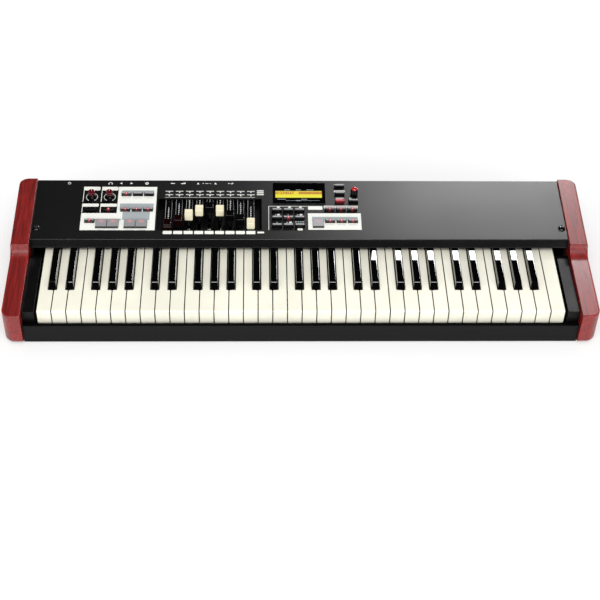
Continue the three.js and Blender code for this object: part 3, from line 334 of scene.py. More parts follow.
def round_rings(left, right, bottom, top, radius, steps=3):
    """Rounded rectangles, one for each value given, as (stations, points, 2).

    Round a corner the point is the corner's centre plus radius times (cos t, sin t) for a quarter turn of t.
    """
    left, right, bottom, top, radius = np.broadcast_arrays(*np.atleast_1d(left, right, bottom, top, radius))
    radius = np.minimum(radius, np.minimum(right - left, top - bottom) / 2)[:, None]
    parts = []
    for corner, (x, y, sx, sy) in enumerate((
        (right, top, -1, -1), (left, top, 1, -1), (left, bottom, 1, 1), (right, bottom, -1, 1),
    )):
        t = np.linspace(corner, corner + 1, steps + 1) * QUARTER
        ring_x = x[:, None] + sx * radius + radius * np.cos(t)
        ring_y = y[:, None] + sy * radius + radius * np.sin(t)
        parts.append(np.stack([ring_x, ring_y], -1))
    return np.concatenate(parts, 1)


def skin(rings):
    """A closed surface over rings of equally many points: quads from ring to ring, and a lid at each end."""
    count, around = rings.shape[:2]
    index = np.arange(count * around).reshape(count, around)
    near, far = index[:-1], index[1:]
    quads = np.stack([near, np.roll(near, -1, 1), np.roll(far, -1, 1), far], -1).reshape(-1, 4)
    return rings.reshape(-1, 3), quads.tolist() + [index[0][::-1].tolist(), index[-1].tolist()]


def tube(rings):
    """A surface that closes round both ways, as a ring-shaped body does."""
    count, around = rings.shape[:2]
    index = np.arange(count * around).reshape(count, around)
    far = np.roll(index, -1, 0)
    quads = np.stack([index, np.roll(index, -1, 1), np.roll(far, -1, 1), far], -1).reshape(-1, 4)
    return rings.reshape(-1, 3), quads.tolist()


def gather(parts):
    """Several (points, faces) pairs as one pair."""
    points, faces, start = [], [], 0
    for part_points, part_faces in parts:
        points.append(part_points)
        faces += [[start + i for i in face] for face in part_faces]
        start += len(part_points)
    return np.concatenate(points), faces


def pad(left, right, front, rear, low, high, corner=0.5 * MM, edge=0.25 * MM, steps=3):
    """A low block with round corners on the deck: rounded rectangles stacked in h and drawn in near the top.

    They are drawn in by edge (1 - sin t) at height high - edge (1 - cos t), t from a quarter turn to zero.
    """
    t = np.linspace(QUARTER, 0, steps + 1)
    inset = np.concatenate([[0], edge * (1 - np.sin(t))])
    height = np.concatenate([[low], high - edge * (1 - np.cos(QUARTER - t)[::-1])])
    corner = np.maximum(corner - inset, 0.02 * MM)
    rings = round_rings(left + inset, right - inset, front + inset, rear - inset, corner)
    level = np.repeat(height[:, None, None], rings.shape[1], 1)
    return skin(np.concatenate([rings, level], -1))


def ink_bar(left, right, front, rear, level=0.0, corner=0.3 * MM, thick=1.0):
    """A printed bar: a pad as thick as the ink, times thick."""
    rise = bpy.context.scene.organ_controls.print_rise * thick
    return pad(left, right, front, rear, level, level + rise, corner, INK_EDGE)


def lathe(profile, centre, sides=32, flutes=0, depth=0.0, fluted=(0, 0)):
    """A profile of (radius, height) turned about the deck's normal at centre (x, v), with a lid at each end.

    Between the two heights of fluted the radius is cut by depth times (1 - cos(flutes t)) / 2.
    """
    t = np.linspace(0, 2 * math.pi, sides, endpoint=False)
    radius, height = np.asarray(profile, float).T
    cut = ((height >= fluted[0]) & (height <= fluted[1]))[:, None] * depth * (1 - np.cos(flutes * t)) / 2
    reach = radius[:, None] - cut
    rings = np.stack([
        centre[0] + reach * np.cos(t), centre[1] + reach * np.sin(t), np.repeat(height[:, None], sides, 1),
    ], -1)
    return skin(rings)


def filleted(points, radius, steps=4):
    """An open path with its inner corners rounded.

    Each arc touches both sides at radius / tan(half the corner's angle) from the corner, and its points are a
    quadratic blend of the two touching points and the corner.
    """
    points = np.asarray(points, float)
    out = [points[:1]]
    for before, corner, after in zip(points, points[1:], points[2:]):
        a = (before - corner) / np.linalg.norm(before - corner)
        b = (after - corner) / np.linalg.norm(after - corner)
        half = math.acos(max(-1, min(1, float(a @ b)))) / 2
        reach = radius / math.tan(half)
        t = np.linspace(0, 1, steps + 1)[:, None]
        start, end = corner + a * reach, corner + b * reach
        out.append((1 - t) ** 2 * start + 2 * t * (1 - t) * corner + t ** 2 * end)
    out.append(points[-1:])
    return np.concatenate(out)


def carried(outline, left, right, edge=0.4 * MM, steps=3):
    """A closed side outline carried across from left to right, its ends rounded by drawing the outline in:
    inset = edge (1 - sin t) at a distance edge (1 - cos t) from the end."""
    outline = np.asarray(outline, float)
    normal = outward(outline)
    t = np.linspace(0, QUARTER, steps + 1)
    inset = np.concatenate([edge * (1 - np.sin(t)), edge * (1 - np.sin(t))[::-1]])
    x = np.concatenate([left + edge * (1 - np.cos(t)), (right - edge * (1 - np.cos(t)))[::-1]])
    flat = outline[None] - inset[:, None, None] * normal[None]
    across = np.repeat(x[:, None, None], len(outline), 1)
    return skin(np.concatenate([across, flat], -1))


def outward(outline):
    """Normals of a closed outline, from the chord between each point's neighbours."""
    chord = np.roll(outline, -1, 0) - np.roll(outline, 1, 0)
    normal = np.stack([chord[:, 1], -chord[:, 0]], -1)
    normal /= np.maximum(np.linalg.norm(normal, axis=1, keepdims=True), 1e-12)
    x, y = outline.T
    area = np.sum(x * np.roll(y, -1) - y * np.roll(x, -1))
    return normal if area > 0 else -normal


def sheet(path, columns, holes=(), fields=()):
    """A folded sheet as a grid: path is (v, h) places and columns the x values.

    A flat cell whose middle lies in a hole (left, right, front, rear) is left out. Fields are (left, right,
    front, rear, number), and give a cell the number of the last one that holds it.
    """
    path, columns = np.asarray(path, float), np.asarray(columns, float)
    rows, wide = len(path), len(columns)
    grid = np.stack([
        np.repeat(columns[None], rows, 0), np.repeat(path[:, :1], wide, 1), np.repeat(path[:, 1:], wide, 1)
    ], -1)
    index = np.arange(rows * wide).reshape(rows, wide)
    quads = np.stack([index[:-1, :-1], index[:-1, 1:], index[1:, 1:], index[1:, :-1]], -1).reshape(-1, 4)
    middle = grid.reshape(-1, 3)[quads].mean(1)
    keep = np.ones(len(quads), bool)
    flat = np.abs(middle[:, 2] - path[:, 1].max()) < 0.01 * MM
    for hole in holes:
        keep &= ~(inside(middle, *hole) & flat)
    number = np.zeros(len(quads), int)
    for *rectangle, which in fields:
        number[inside(middle, *rectangle)] = which
    used, faces = np.unique(quads[keep], return_inverse=True)
    return grid.reshape(-1, 3)[used], faces.reshape(-1, 4).tolist(), number[keep]


def inside(points, left, right, front, rear):
    return (points[:, 0] > left) & (points[:, 0] < right) & (points[:, 1] > front) & (points[:, 1] < rear)


def lines(start, end, marks, step):
    """Grid lines from start to end: every mark that lies between them, and enough others to keep step."""
    even = np.linspace(start, end, max(2, int(round((end - start) / step)) + 1))
    marks = np.array([m for m in marks if start < m < end])
    if len(marks):
        even = even[np.min(np.abs(even[:, None] - marks[None]), 1) > step / 4]
    return np.unique(np.round(np.concatenate([even, marks, [start, end]]), 7))


# Objects

def make(name, shape, finishes, body="chassis", replaces=(), slot=None, uv=None, sharp=40, closed=True,
         numbers=None):
    """A finished piece: its mesh from (points, faces), its finishes by name, and the body that it rides on.

    Numbers say which finish each face has. The slot argument is not used.
    """
    points, faces = shape
    finishes = [finishes] if isinstance(finishes, str) else finishes
    mesh = bpy.data.meshes.new(name)
    mesh.from_pydata(np.asarray(points, float), [], faces)
    if closed:
        face_outwards(mesh)
    mesh.update()
    mesh.shade_smooth()
    mesh.set_sharp_from_angle(angle=math.radians(sharp))
    if not closed:
        mark_rims(mesh)
    for each in finishes:
        mesh.materials.append(finish(each))
    if numbers is not None:
        mesh.polygons.foreach_set("material_index", np.asarray(numbers, np.int32))
    if uv is not None:
        corners = np.zeros(len(mesh.loops), np.int32)
        mesh.loops.foreach_get("vertex_index", corners)
        mesh.uv_layers.new(name="UVMap").data.foreach_set("uv", np.asarray(uv, np.float32)[corners].ravel())
    piece = bpy.data.objects.new(name, mesh)
    bpy.context.scene.collection.objects.link(piece)
    shading = piece.modifiers.new("Shading", "WEIGHTED_NORMAL")
    shading.keep_sharp = True
    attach(piece, body)
    slot or FINISHES[finishes[0]][0]
    if replaces:
        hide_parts(*replaces)
    return piece


def lay(name, shape, finishes, body="chassis", replaces=(), **options):
    """A finished piece whose points are deck places."""
    points, faces = shape
    return make(name, (from_deck(points), faces), finishes, body, replaces, **options)


def mark_rims(mesh):
    """Makes every edge with one face a sharp one, so that a wall's rim doesn't shade the sheet's border."""
    used = np.zeros(len(mesh.loops), np.int32)
    mesh.loops.foreach_get("edge_index", used)
    crisp = np.zeros(len(mesh.edges), bool)
    mesh.edges.foreach_get("use_edge_sharp", crisp)
    mesh.edges.foreach_set("use_edge_sharp", crisp | (np.bincount(used, minlength=len(mesh.edges)) < 2))


def face_outwards(mesh):
    shape = bmesh.new()
    shape.from_mesh(mesh)
    bmesh.ops.recalc_face_normals(shape, faces=shape.faces)
    shape.to_mesh(mesh)
    shape.free()


def thicken(piece, thickness):
    """A wall on a sheet, inwards of its faces."""
    wall = piece.modifiers.new("Wall", "SOLIDIFY")
    wall.thickness = thickness
    wall.offset = -1
    wall.use_even_offset = True
    piece.modifiers.move(len(piece.modifiers) - 1, 0)


GLYPHS = {}


def digit(character):
    """A numeral as a thin solid one unit high, (points, faces), from the built-in font."""
    if character not in GLYPHS:
        curve = bpy.data.curves.new("numeral", "FONT")
        curve.body = character
        curve.resolution_u = 2
        curve.extrude = 0.5
        curve.offset = 0.025
        curve.align_x = "CENTER"
        holder = bpy.data.objects.new("numeral", curve)
        bpy.context.scene.collection.objects.link(holder)
        bpy.context.view_layer.update()
        mesh = bpy.data.meshes.new_from_object(holder.evaluated_get(bpy.context.evaluated_depsgraph_get()))
        shape = bmesh.new()
        shape.from_mesh(mesh)
        bmesh.ops.remove_doubles(shape, verts=shape.verts, dist=1e-5)
        points = np.array([v.co for v in shape.verts])
        faces = [[v.index for v in f.verts] for f in shape.faces]
        shape.free()
        bpy.data.objects.remove(holder)
        bpy.data.meshes.remove(mesh)
        bpy.data.curves.remove(curve)
        points[:, 1] -= (points[:, 1].min() + points[:, 1].max()) / 2
        points[:, :2] /= np.ptp(points[:, 1])
        GLYPHS[character] = points, faces
    return GLYPHS[character]


def numeral(character, x, v, height, low, high):
    """A numeral on the deck, its middle at x, v."""
    points, faces = digit(character)
    return points * [height, height, high - low] + [x, v, (low + high) / 2], faces


def disc(x, v, radius, low, high, sides=20):
    """A low round block with a small rounding at its top."""
    edge = min(radius, high - low) / 3
    return lathe([(radius, low), (radius, high - edge), (radius - edge, high)], (x, v), sides)


def outline_mark(points, low, high):
    """A flat mark with any outline on the deck, points as (x, v)."""
    points = np.asarray(points, float)
    return skin(np.stack([np.concatenate([points, np.full((len(points), 1), h)], 1) for h in (low, high)]))


def turned(x, v, section, sides):
    """A section of (radius, height) points turned about (x, v); a radius may change with the angle."""
    t = np.linspace(0, 2 * math.pi, sides, endpoint=False)
    rings = [np.stack([x + r * np.cos(t), v + r * np.sin(t), np.full(sides, h)], -1) for r, h in section]
    return tube(np.stack(rings))


def ring_mark(x, v, inner, outer, low, high, start, end, sides):
    """A flat ring or part of one: two arcs about (x, v)."""
    if end - start == 2 * math.pi:
        return turned(x, v, [(inner, low), (outer, low), (outer, high), (inner, high)], sides)
    band = np.concatenate([arc((x, v), outer, start, end, sides), arc((x, v), inner, end, start, sides)])
    return outline_mark(band, low, high)


# Finishes

class Value:
    """One output of a shader node. Sums written on it as Python become Math nodes."""

    def __init__(self, finish, socket):
        self.finish = finish
        self.socket = socket

    def math(self, operation, *terms):
        return self.finish.node("Math", {"operation": operation}, dict(enumerate(terms)))

    def __add__(self, other):
        return self.math("ADD", self, other)

    def __sub__(self, other):
        return self.math("SUBTRACT", self, other)

    def __rsub__(self, other):
        return self.math("SUBTRACT", other, self)

    def __mul__(self, other):
        return self.math("MULTIPLY", self, other)

    def __truediv__(self, other):
        return self.math("DIVIDE", self, other)

    def __gt__(self, other):
        return self.math("GREATER_THAN", self, other)

    def __lt__(self, other):
        return self.math("LESS_THAN", self, other)

    __radd__ = __add__
    __rmul__ = __mul__

    def fraction(self):
        return self.math("FRACT", self)

    def root(self):
        return self.math("SQRT", self)

    def distance(self, other):
        return self.math("ABSOLUTE", self - other)

    def ease(self, start, end):
        """Zero below start, one above end, and smooth between."""
        ends = {"Value": self, "From Min": start, "From Max": end}
        return self.finish.node("MapRange", {"interpolation_type": "SMOOTHSTEP"}, ends)


class Finish:
    """A material with one Principled shader on Object coordinates. node() adds any other node to it."""

    def __init__(self, name, **uniform):
        self.material = bpy.data.materials.new(name)
        self.material.use_nodes = True
        self.tree = self.material.node_tree
        self.shader = self.tree.nodes["Principled BSDF"]
        for socket, value in uniform.items():
            self.shader.inputs[socket_name(socket)].default_value = value
        coordinates = self.tree.nodes.new("ShaderNodeTexCoord")
        self.place = Value(self, coordinates.outputs["Object"])
        self.uv = Value(self, coordinates.outputs["UV"])

    def node(self, kind, settings=None, inputs=None, out=0):
        made = self.tree.nodes.new("ShaderNode" + kind)
        for name, value in (settings or {}).items():
            setattr(made, name, value)
        for name, value in (inputs or {}).items():
            self.plug(made.inputs[name], value)
        return Value(self, made.outputs[out])

    def plug(self, socket, value):
        if isinstance(value, Value):
            self.tree.links.new(value.socket, socket)
        else:
            socket.default_value = value

    def set(self, **inputs):
        for name, value in inputs.items():
            self.plug(self.shader.inputs[socket_name(name)], value)
        return self

    def axes(self, vector):
        return [self.node("SeparateXYZ", {}, {0: vector}, out=k) for k in range(3)]

    def stretched(self, x, y, z):
        return self.node("Mapping", {}, {"Vector": self.place, "Scale": (x, y, z)})

    def noise(self, scale, detail=2.0, rough=0.5, at=None):
        return self.node("TexNoise", {}, {
            "Vector": at or self.place, "Scale": scale, "Detail": detail, "Roughness": rough})

    def mix(self, amount, first, second):
        return self.node("Mix", {"data_type": "RGBA"}, {0: amount, 6: first, 7: second}, out=2)

    def mottled(self, amount, shade, dark, light):
        """A colour that goes with amount from dark times its shade to light times its shade."""
        return self.mix(amount.ease(0.3, 0.7), tint(shade, dark), tint(shade, light))

    def bump(self, height, distance, strength=1.0):
        return self.node("Bump", {}, {"Height": height, "Distance": distance, "Strength": strength})

    def grain(self, scale=2600, distance=0.00001, strength=0.3):
        """A fine noise that lifts the surface too."""
        grains = self.noise(scale, 2)
        self.set(normal=self.bump(grains, distance, strength))
        return grains


def socket_name(word):
    return word.replace("_", " ").title().replace("Ior", "IOR")


def tint(shade, factor=1.0):
    """A colour of the palette as the linear one that a shader takes, made lighter or darker by factor."""
    value = getattr(bpy.context.scene.organ_colours, shade)
    linear = [c / 12.92 if c <= 0.04045 else ((c + 0.055) / 1.055) ** 2.4 for c in value]
    return (*[min(1.0, c * factor) for c in linear], 1.0)


def from_middle(u, v, middle_u, middle_v, wide, deep):
    """How far a place is from a middle, in parts of wide and deep: the root of the sum of both squares."""
    across, along = (u - middle_u) / wide, (v - middle_v) / deep
    return (across * across + along * along).root()


def cap_sheen_band(v):
    """Where a cap's top takes its painted highlight: a band that stays clear of its front and its rear edge.
    """
    return v.ease(*CAP_SHEEN_EDGE) * (1 - v.ease(0.8, 0.92))


def lacquered_wood():
    """Red-brown stain over straight grain: long streaks, darker pores, and a clear coat."""
    f = Finish("lacquered_wood", coat_roughness=0.2, coat_ior=1.5)
    streaks = f.noise(1.0, 4, 0.6, f.stretched(260, 9, 260))
    bands = f.noise(1.0, 2, 0.5, f.stretched(60, 3, 60))
    pores = f.noise(1.0, 1, 0.5, f.stretched(1500, 55, 1500)).ease(0.60, 0.72)
    base = f.mix(streaks.ease(0.3, 0.7), tint("wood_dark"), tint("wood"))
    base = f.mix(bands.ease(0.35, 0.75) * 0.45, base, tint("wood_dark"))
    base = f.mix(pores * 0.55, base, tint("wood_dark", 0.5))
    return f.set(
        base_color=base, roughness=0.34 + 0.12 * streaks, coat_weight=0.45 - 0.2 * pores,
        normal=f.bump(1 - pores, 0.00005, 0.5))


def painted_steel(name="painted_steel", depth=1.0, rough=0.42, grain=0.00006, gloss=0.5):
    """Fine textured paint: a bump with grains of about half a millimetre, and slow changes of gloss."""
    f = Finish(name, ior=1.5, specular_ior_level=gloss)
    grains = f.noise(2300, 3, 0.6)
    clouds = f.noise(7, 3, 0.5)
    return f.set(
        base_color=f.mix(grains.ease(0.35, 0.7), tint("panel", 0.75 * depth), tint("panel", 1.5 * depth)),
        roughness=rough - 0.06 + 0.12 * clouds, normal=f.bump(grains, grain, 0.55))


def moulded(name, shade, rough=0.38, depth=1.0, **uniform):
    """Moulded plastic: a fine spark-eroded grain, a little uneven in gloss and shade."""
    f = Finish(name, ior=1.5, **uniform)
    f.grain(3200, 0.00003, 0.4)
    clouds = f.noise(22, 3, 0.5)
    base = f.mottled(clouds, shade, 0.88 * depth, 1.06 * depth)
    return f.set(base_color=base, roughness=rough - 0.05 + 0.1 * clouds)


def polished(name, shade, rough=0.12, coat=0.3, along=1.0, wiped=0.06, gloss=0.5):
    """Polished plastic with faint wiping marks along its length and a thin clear skin."""
    f = Finish(name, ior=1.49, specular_ior_level=gloss, coat_weight=coat, coat_roughness=rough / 2)
    wipes = f.noise(1.0, 3, 0.6, f.stretched(900, 900 / along, 900))
    clouds = f.noise(14, 2, 0.5)
    return f.set(
        base_color=f.mottled(clouds, shade, 0.94, 1.03),
        roughness=rough + wiped * wipes + wiped * 0.6 * clouds, normal=f.bump(wipes, 0.00001, wiped * 4))


def printed(name, shade, rough=0.5, **uniform):
    """Screen ink: a slightly open weave of dots and a soft edge of wear."""
    f = Finish(name, ior=1.5, **uniform)
    dots = f.noise(5200, 1, 0.5)
    clouds = f.noise(40, 2, 0.5)
    return f.set(
        base_color=f.mix(dots.ease(0.3, 0.8) * 0.5 + clouds * 0.25, tint(shade, 1.03), tint(shade, 0.88)),
        roughness=rough + 0.1 * clouds, normal=f.bump(dots, 0.00001, 0.3))


def plated(name, shade, rough=0.28):
    """Plated metal with a fine brushed grain."""
    f = Finish(name, metallic=1.0)
    brush = f.noise(1.0, 3, 0.6, f.stretched(2600, 2600, 2600))
    clouds = f.noise(30, 3, 0.5)
    return f.set(
        base_color=f.mottled(clouds, shade, 0.9, 1.08), roughness=rough + 0.14 * brush,
        normal=f.bump(brush, 0.00001, 0.3))


def zinc_sheet():
    """Galvanised sheet: crystals that differ in shade and gloss."""
    f = Finish("zinc_sheet", metallic=1.0)
    crystals = f.node("TexVoronoi", {"feature": "F1"}, {"Vector": f.place, "Scale": 120.0}, out=1)
    level = f.axes(crystals)[0]
    return f.set(
        base_color=f.mix(level, tint("steel", 0.78), tint("steel", 1.1)), roughness=0.3 + 0.22 * level,
        normal=f.bump(f.noise(2500, 2), 0.00001, 0.3))


def circuit_board():
    """Green lacquer over copper tracks: bands of a coarse grid, some left out, and pads at its nodes."""
    f = Finish("circuit_board", ior=1.5, coat_weight=0.4, coat_roughness=0.2)
    x, y, _ = f.axes(f.place)
    across, along = [(axis * 400).fraction().distance(0.5) for axis in (x, y)]
    chosen = f.noise(90, 0).ease(0.48, 0.52)
    tracks = (across < 0.14) * chosen + (along < 0.14) * (1 - chosen)
    pads = (across * across + along * along < 0.05) * (f.noise(140, 0) > 0.55)
    base = f.mix(tracks * 0.8, tint("board"), tint("board", 2.2))
    return f.set(
        base_color=f.mix(pads, base, tint("steel")), metallic=pads * 0.9, roughness=0.42 - 0.1 * tracks,
        normal=f.bump(tracks + pads, 0.00004, 0.6))


def felt():
    """Pressed wool: fibres in two directions."""
    f = Finish("felt", roughness=0.95, sheen_weight=0.4)
    fibres = f.noise(1.0, 4, 0.7, f.stretched(900, 2600, 900))
    cross = f.noise(1.0, 4, 0.7, f.stretched(2600, 900, 900))
    return f.set(
        base_color=f.mix((fibres + cross) * 0.5, tint("felt", 0.6), tint("felt", 1.5)),
        normal=f.bump(fibres + cross, 0.0003, 0.8))


def rubber():
    f = Finish("rubber", ior=1.45)
    grains = f.noise(1400, 4, 0.7)
    return f.set(
        base_color=f.mix(grains, tint("rubber", 0.7), tint("rubber", 1.4)),
        roughness=0.82 + 0.1 * grains, normal=f.bump(grains, 0.00008, 0.6))


def lamp_glow():
    """A lit lens: bright in the middle of its own face and deeper red at its rim."""
    f = Finish("lamp_glow", roughness=0.2)
    u, v, _ = f.axes(f.uv)
    core = 1 - from_middle(u, v, 0.5, 0.5, 1.0, 1.0).ease(0.3, 0.75)
    return f.set(
        base_color=tint("lamp", 0.4), emission_color=f.mix(core, tint("lamp", 0.9), tint("lamp_core")),
        emission_strength=1.0)


def cap_top():
    """A cap's top: a pale grey band of painted highlight, black in front of it and along its rear edge."""
    f = Finish("cap_top", ior=1.49, specular_ior_level=0.25)
    v = f.axes(f.uv)[1]
    grains = f.grain()
    painted_highlight = f.mottled(grains, "cap_grey", 0.92, 1.06)
    return f.set(base_color=f.mix(cap_sheen_band(v), tint("sharp"), painted_highlight), roughness=0.3 + 0.1 * grains)


def lit_top(name, shade):
    """A cap's top with a lamp under its middle, whose glow falls off across the cap's own UV square."""
    f = Finish(name, ior=1.49)
    u, v, _ = f.axes(f.uv)
    glow = 1 - from_middle(u, v, 0.5, 0.5, 0.24, 0.75).ease(0.15, 1.0)
    core = 1 - from_middle(u, v, 0.5, 0.5, 0.1, 0.7).ease(0.2, 1.0)
    lit = f.mix(core, tint("lamp", 0.3), tint("lamp_core", 0.7))
    # With the pale cap colour as shade, the band across the top is a painted highlight.
    return f.set(
        base_color=f.mix(glow, f.mix(cap_sheen_band(v), tint("sharp"), tint(shade)), tint("lamp", 0.1)),
        roughness=0.3 + 0.1 * f.grain(), emission_color=f.mix(glow, BLACK, lit), emission_strength=1.0)


def lit_side():
    """A black cap's sides, red in front of its lamp."""
    f = Finish("lit_side", ior=1.49)
    u, v, _ = f.axes(f.uv)
    glow = (1 - u.distance(0.5).ease(0.02, 0.2)) * (v < 0.3)
    return f.set(
        base_color=f.mix(glow * 0.5, tint("sharp"), tint("lamp", 0.1)), roughness=0.2 + 0.1 * f.grain(),
        emission_color=f.mix(glow, BLACK, tint("lamp", 0.1)), emission_strength=1.0)


def record_top():
    """A red cap's top, paler to its left: a painted highlight."""
    f = Finish("record_top", ior=1.49, coat_weight=0.5, coat_roughness=0.1)
    u, v, _ = f.axes(f.uv)
    painted_highlight = (1 - u.ease(0.45, 1.0)) * v.ease(0.2, 0.6)
    return f.set(base_color=f.mix(painted_highlight, tint("red"), tint("record_pale")), roughness=0.25 + 0.1 * f.grain())


def grey_button(name, lit, bright=1.0):
    """A square rubber button, with a lamp behind a patch near its rear edge, and painted shade along its
    front edge.
    """
    f = Finish(name, ior=1.45)
    u, v, _ = f.axes(f.uv)
    glow = (1 - from_middle(u, v, 0.52, 0.72, 0.36, 0.3).ease(0.2, 1.0)) * lit
    grains = f.grain(3000, 0.00003, 0.4)
    base = f.mottled(grains, "key_grey", 0.92 * bright, 1.06 * bright)
    return f.set(
        # The front edge, up to a tenth of the way back, is darkened: painted shade.
        base_color=f.mix(v.ease(0.02, 0.10), tint("key_grey", 0.10), base), roughness=0.5 + 0.12 * grains,
        emission_color=f.mix(glow, BLACK, tint("lamp", 0.55)), emission_strength=0.9)


def lit_display():
    """A lit character display: brighter below, warmer above, with the fine grid of its cells."""
    f = Finish("lit_display", coat_weight=0.15, coat_roughness=0.1, roughness=0.5)
    u, v, _ = f.axes(f.uv)
    columns, rows = [(axis * count).fraction().distance(0.5) > 0.44 for axis, count in ((u, 20), (v, 2))]
    base = f.mix(v.ease(0.4, 0.6) * 0.16, tint("screen"), tint("screen_mark", 1.9))
    base = f.mix((columns + rows) * 0.16, base, tint("screen_mark"))
    return f.set(base_color=f.mix(0.5, base, BLACK), emission_color=base, emission_strength=0.6)


BLACK = (0, 0, 0, 1)
# Where the band of painted highlight across a cap's top fades in, along the cap's own UV.
CAP_SHEEN_EDGE = (0.34, 0.46)

# Each finish by name: its slot of the record, and how it is made
FINISHES = {
    "wood": ("wood", lacquered_wood),
    "panel": ("black_metal", lambda: painted_steel(rough=0.3, grain=0.00002)),
    # The fascia: a darker copy of the panel's paint, painted shade.
    "fascia": ("black_metal", lambda: painted_steel("painted_fascia", 0.5, 0.2, 0.00002, 0.3)),
    # The rail: a darker copy of the panel's paint, painted shade; its flange darker still, painted shade for
    # the gap under the keys.
    "rail": ("black_metal", lambda: painted_steel("painted_rail", 0.6, 0.4, gloss=0.15)),
    "flange": ("black_metal", lambda: painted_steel("painted_flange", 0.2, 0.8, gloss=0.05)),
    "case": ("black_metal", lambda: painted_steel("painted_case", rough=0.55, grain=0.0001)),
    # End blocks: a darker copy of the black plastic, painted shade.
    "block": ("black_plastic", lambda: moulded(
        "block_plastic", "plastic", depth=0.5, specular_ior_level=0.2)),
    "plastic": ("black_plastic", lambda: moulded("black_plastic", "plastic")),
    # The drawbar tray: a darker copy of the black plastic, painted shade in its recess.
    "tray": ("black_plastic", lambda: moulded("tray_plastic", "plastic", 0.5, 0.3, specular_ior_level=0.1)),
    "white_key": ("ivory", lambda: polished("white_key", "white_key", 0.42, 0.0, along=30)),
    # The keys' sides: a darker colour that paints the shade in the gaps between white keys.
    "key_side": ("ivory", lambda: moulded("key_side", "key_side", 0.5)),
    "sharp": ("gloss_black", lambda: polished("black_key", "sharp", 0.0, 0.4, along=30, wiped=0.004)),
    "cap_white": ("ivory", lambda: polished("white_drawbar", "cap_white", 0.45, 0.0)),
    "cap_brown": ("brown", lambda: polished("brown_drawbar", "cap_brown", 0.06, 0.05, gloss=0.3)),
    "cap_black": ("gloss_black", lambda: polished("black_drawbar", "cap_black", 0.06, 0.05, gloss=0.3)),
    "gloss": ("gloss_black", lambda: polished("gloss_black", "sharp", 0.12, 0.5)),
    "cap_side": ("gloss_black", lambda: polished("cap_side", "sharp", 0.12, 0.0, gloss=0.15)),
    "window": ("gloss_black", lambda: polished("window_black", "sharp", 0.02, 0.2, wiped=0.01)),
    "knob_red": ("red_plastic", lambda: polished("knob_red", "knob", 0.1, 0.8)),
    "red_gloss": ("red_plastic", lambda: polished("red_gloss", "red", 0.1, 0.8)),
    "print": ("plate_white", lambda: printed("white_print", "print_white")),
    "print_grey": ("grey_plastic", lambda: printed("grey_print", "print_grey")),
    "print_pale": ("grey_plastic", lambda: printed("pale_print", "print_pale")),
    # The line along each drawbar's right edge, a dimmer painted highlight.
    "print_dim": ("grey_plastic", lambda: printed("dim_print", "print_dim")),
    "print_black": ("gloss_black", lambda: printed("black_print", "sharp", specular_ior_level=0.15)),
    "display": ("screen", lit_display),
    "display_mark": ("screen", lambda: printed("display_mark", "screen_mark", 0.4)),
    "steel": ("steel", lambda: plated("plated_steel", "steel")),
    "dark_steel": ("black_metal", lambda: plated("dark_screw", "rubber", 0.35)),
    "zinc": ("steel", zinc_sheet),
    "board": ("board", circuit_board),
    "felt": ("felt", felt),
    "rubber": ("rubber", rubber),
    "lamp": ("red_plastic", lamp_glow),
    "cap_top": ("gloss_black", cap_top),
    "cap_dark": ("gloss_black", lambda: moulded("cap_dark", "sharp", 0.3)),
    "lit_top": ("gloss_black", lambda: lit_top("lit_top", "cap_grey")),
    "lit_dark": ("gloss_black", lambda: lit_top("lit_dark", "sharp")),
    "lit_side": ("gloss_black", lit_side),
    "record_top": ("red_plastic", record_top),
    # The record button's sides: a darker red, painted shade.
    "record_side": ("red_plastic", lambda: moulded("record_side", "record_dark", 0.3)),
    "grey_button": ("grey_plastic", lambda: grey_button("grey_button", 0.6)),
    "pale_button": ("grey_plastic", lambda: grey_button("pale_button", 0.22, 1.35)),
}

MADE = {}


def finish(name):
    """The named finish, made once."""
    if name not in MADE:
        MADE[name] = FINISHES[name][1]().material
    return MADE[name]


def use(node, name):
    """Gives a solid that stays in view its finish."""
    mesh = frame["nodes"][node].data
    mesh.materials.clear()
    mesh.materials.append(finish(name))


# Keys

GROUPS_OF_KEYS = (3, 4)


def octave_places(left):
    """White keys as (head left, head right, tail left, tail right) and the sharps' middles, in one octave.

    The keys from C to E, and from F to B, share between their tails what the notches for the sharps leave.
    """
    k = bpy.context.scene.organ_keys
    notch = k.sharp_foot + 2 * k.sharp_gap
    whites, sharps = [], []
    for count in GROUPS_OF_KEYS:
        tail = (count * k.pitch - k.gap - (count - 1) * notch) / count
        for i in range(count):
            head = left + i * k.pitch
            start = left + i * (tail + notch)
            whites.append((head, head + k.pitch - k.gap, start, start + tail))
            if i < count - 1:
                sharps.append(start + tail + notch / 2)
        left += count * k.pitch
    return whites, sharps


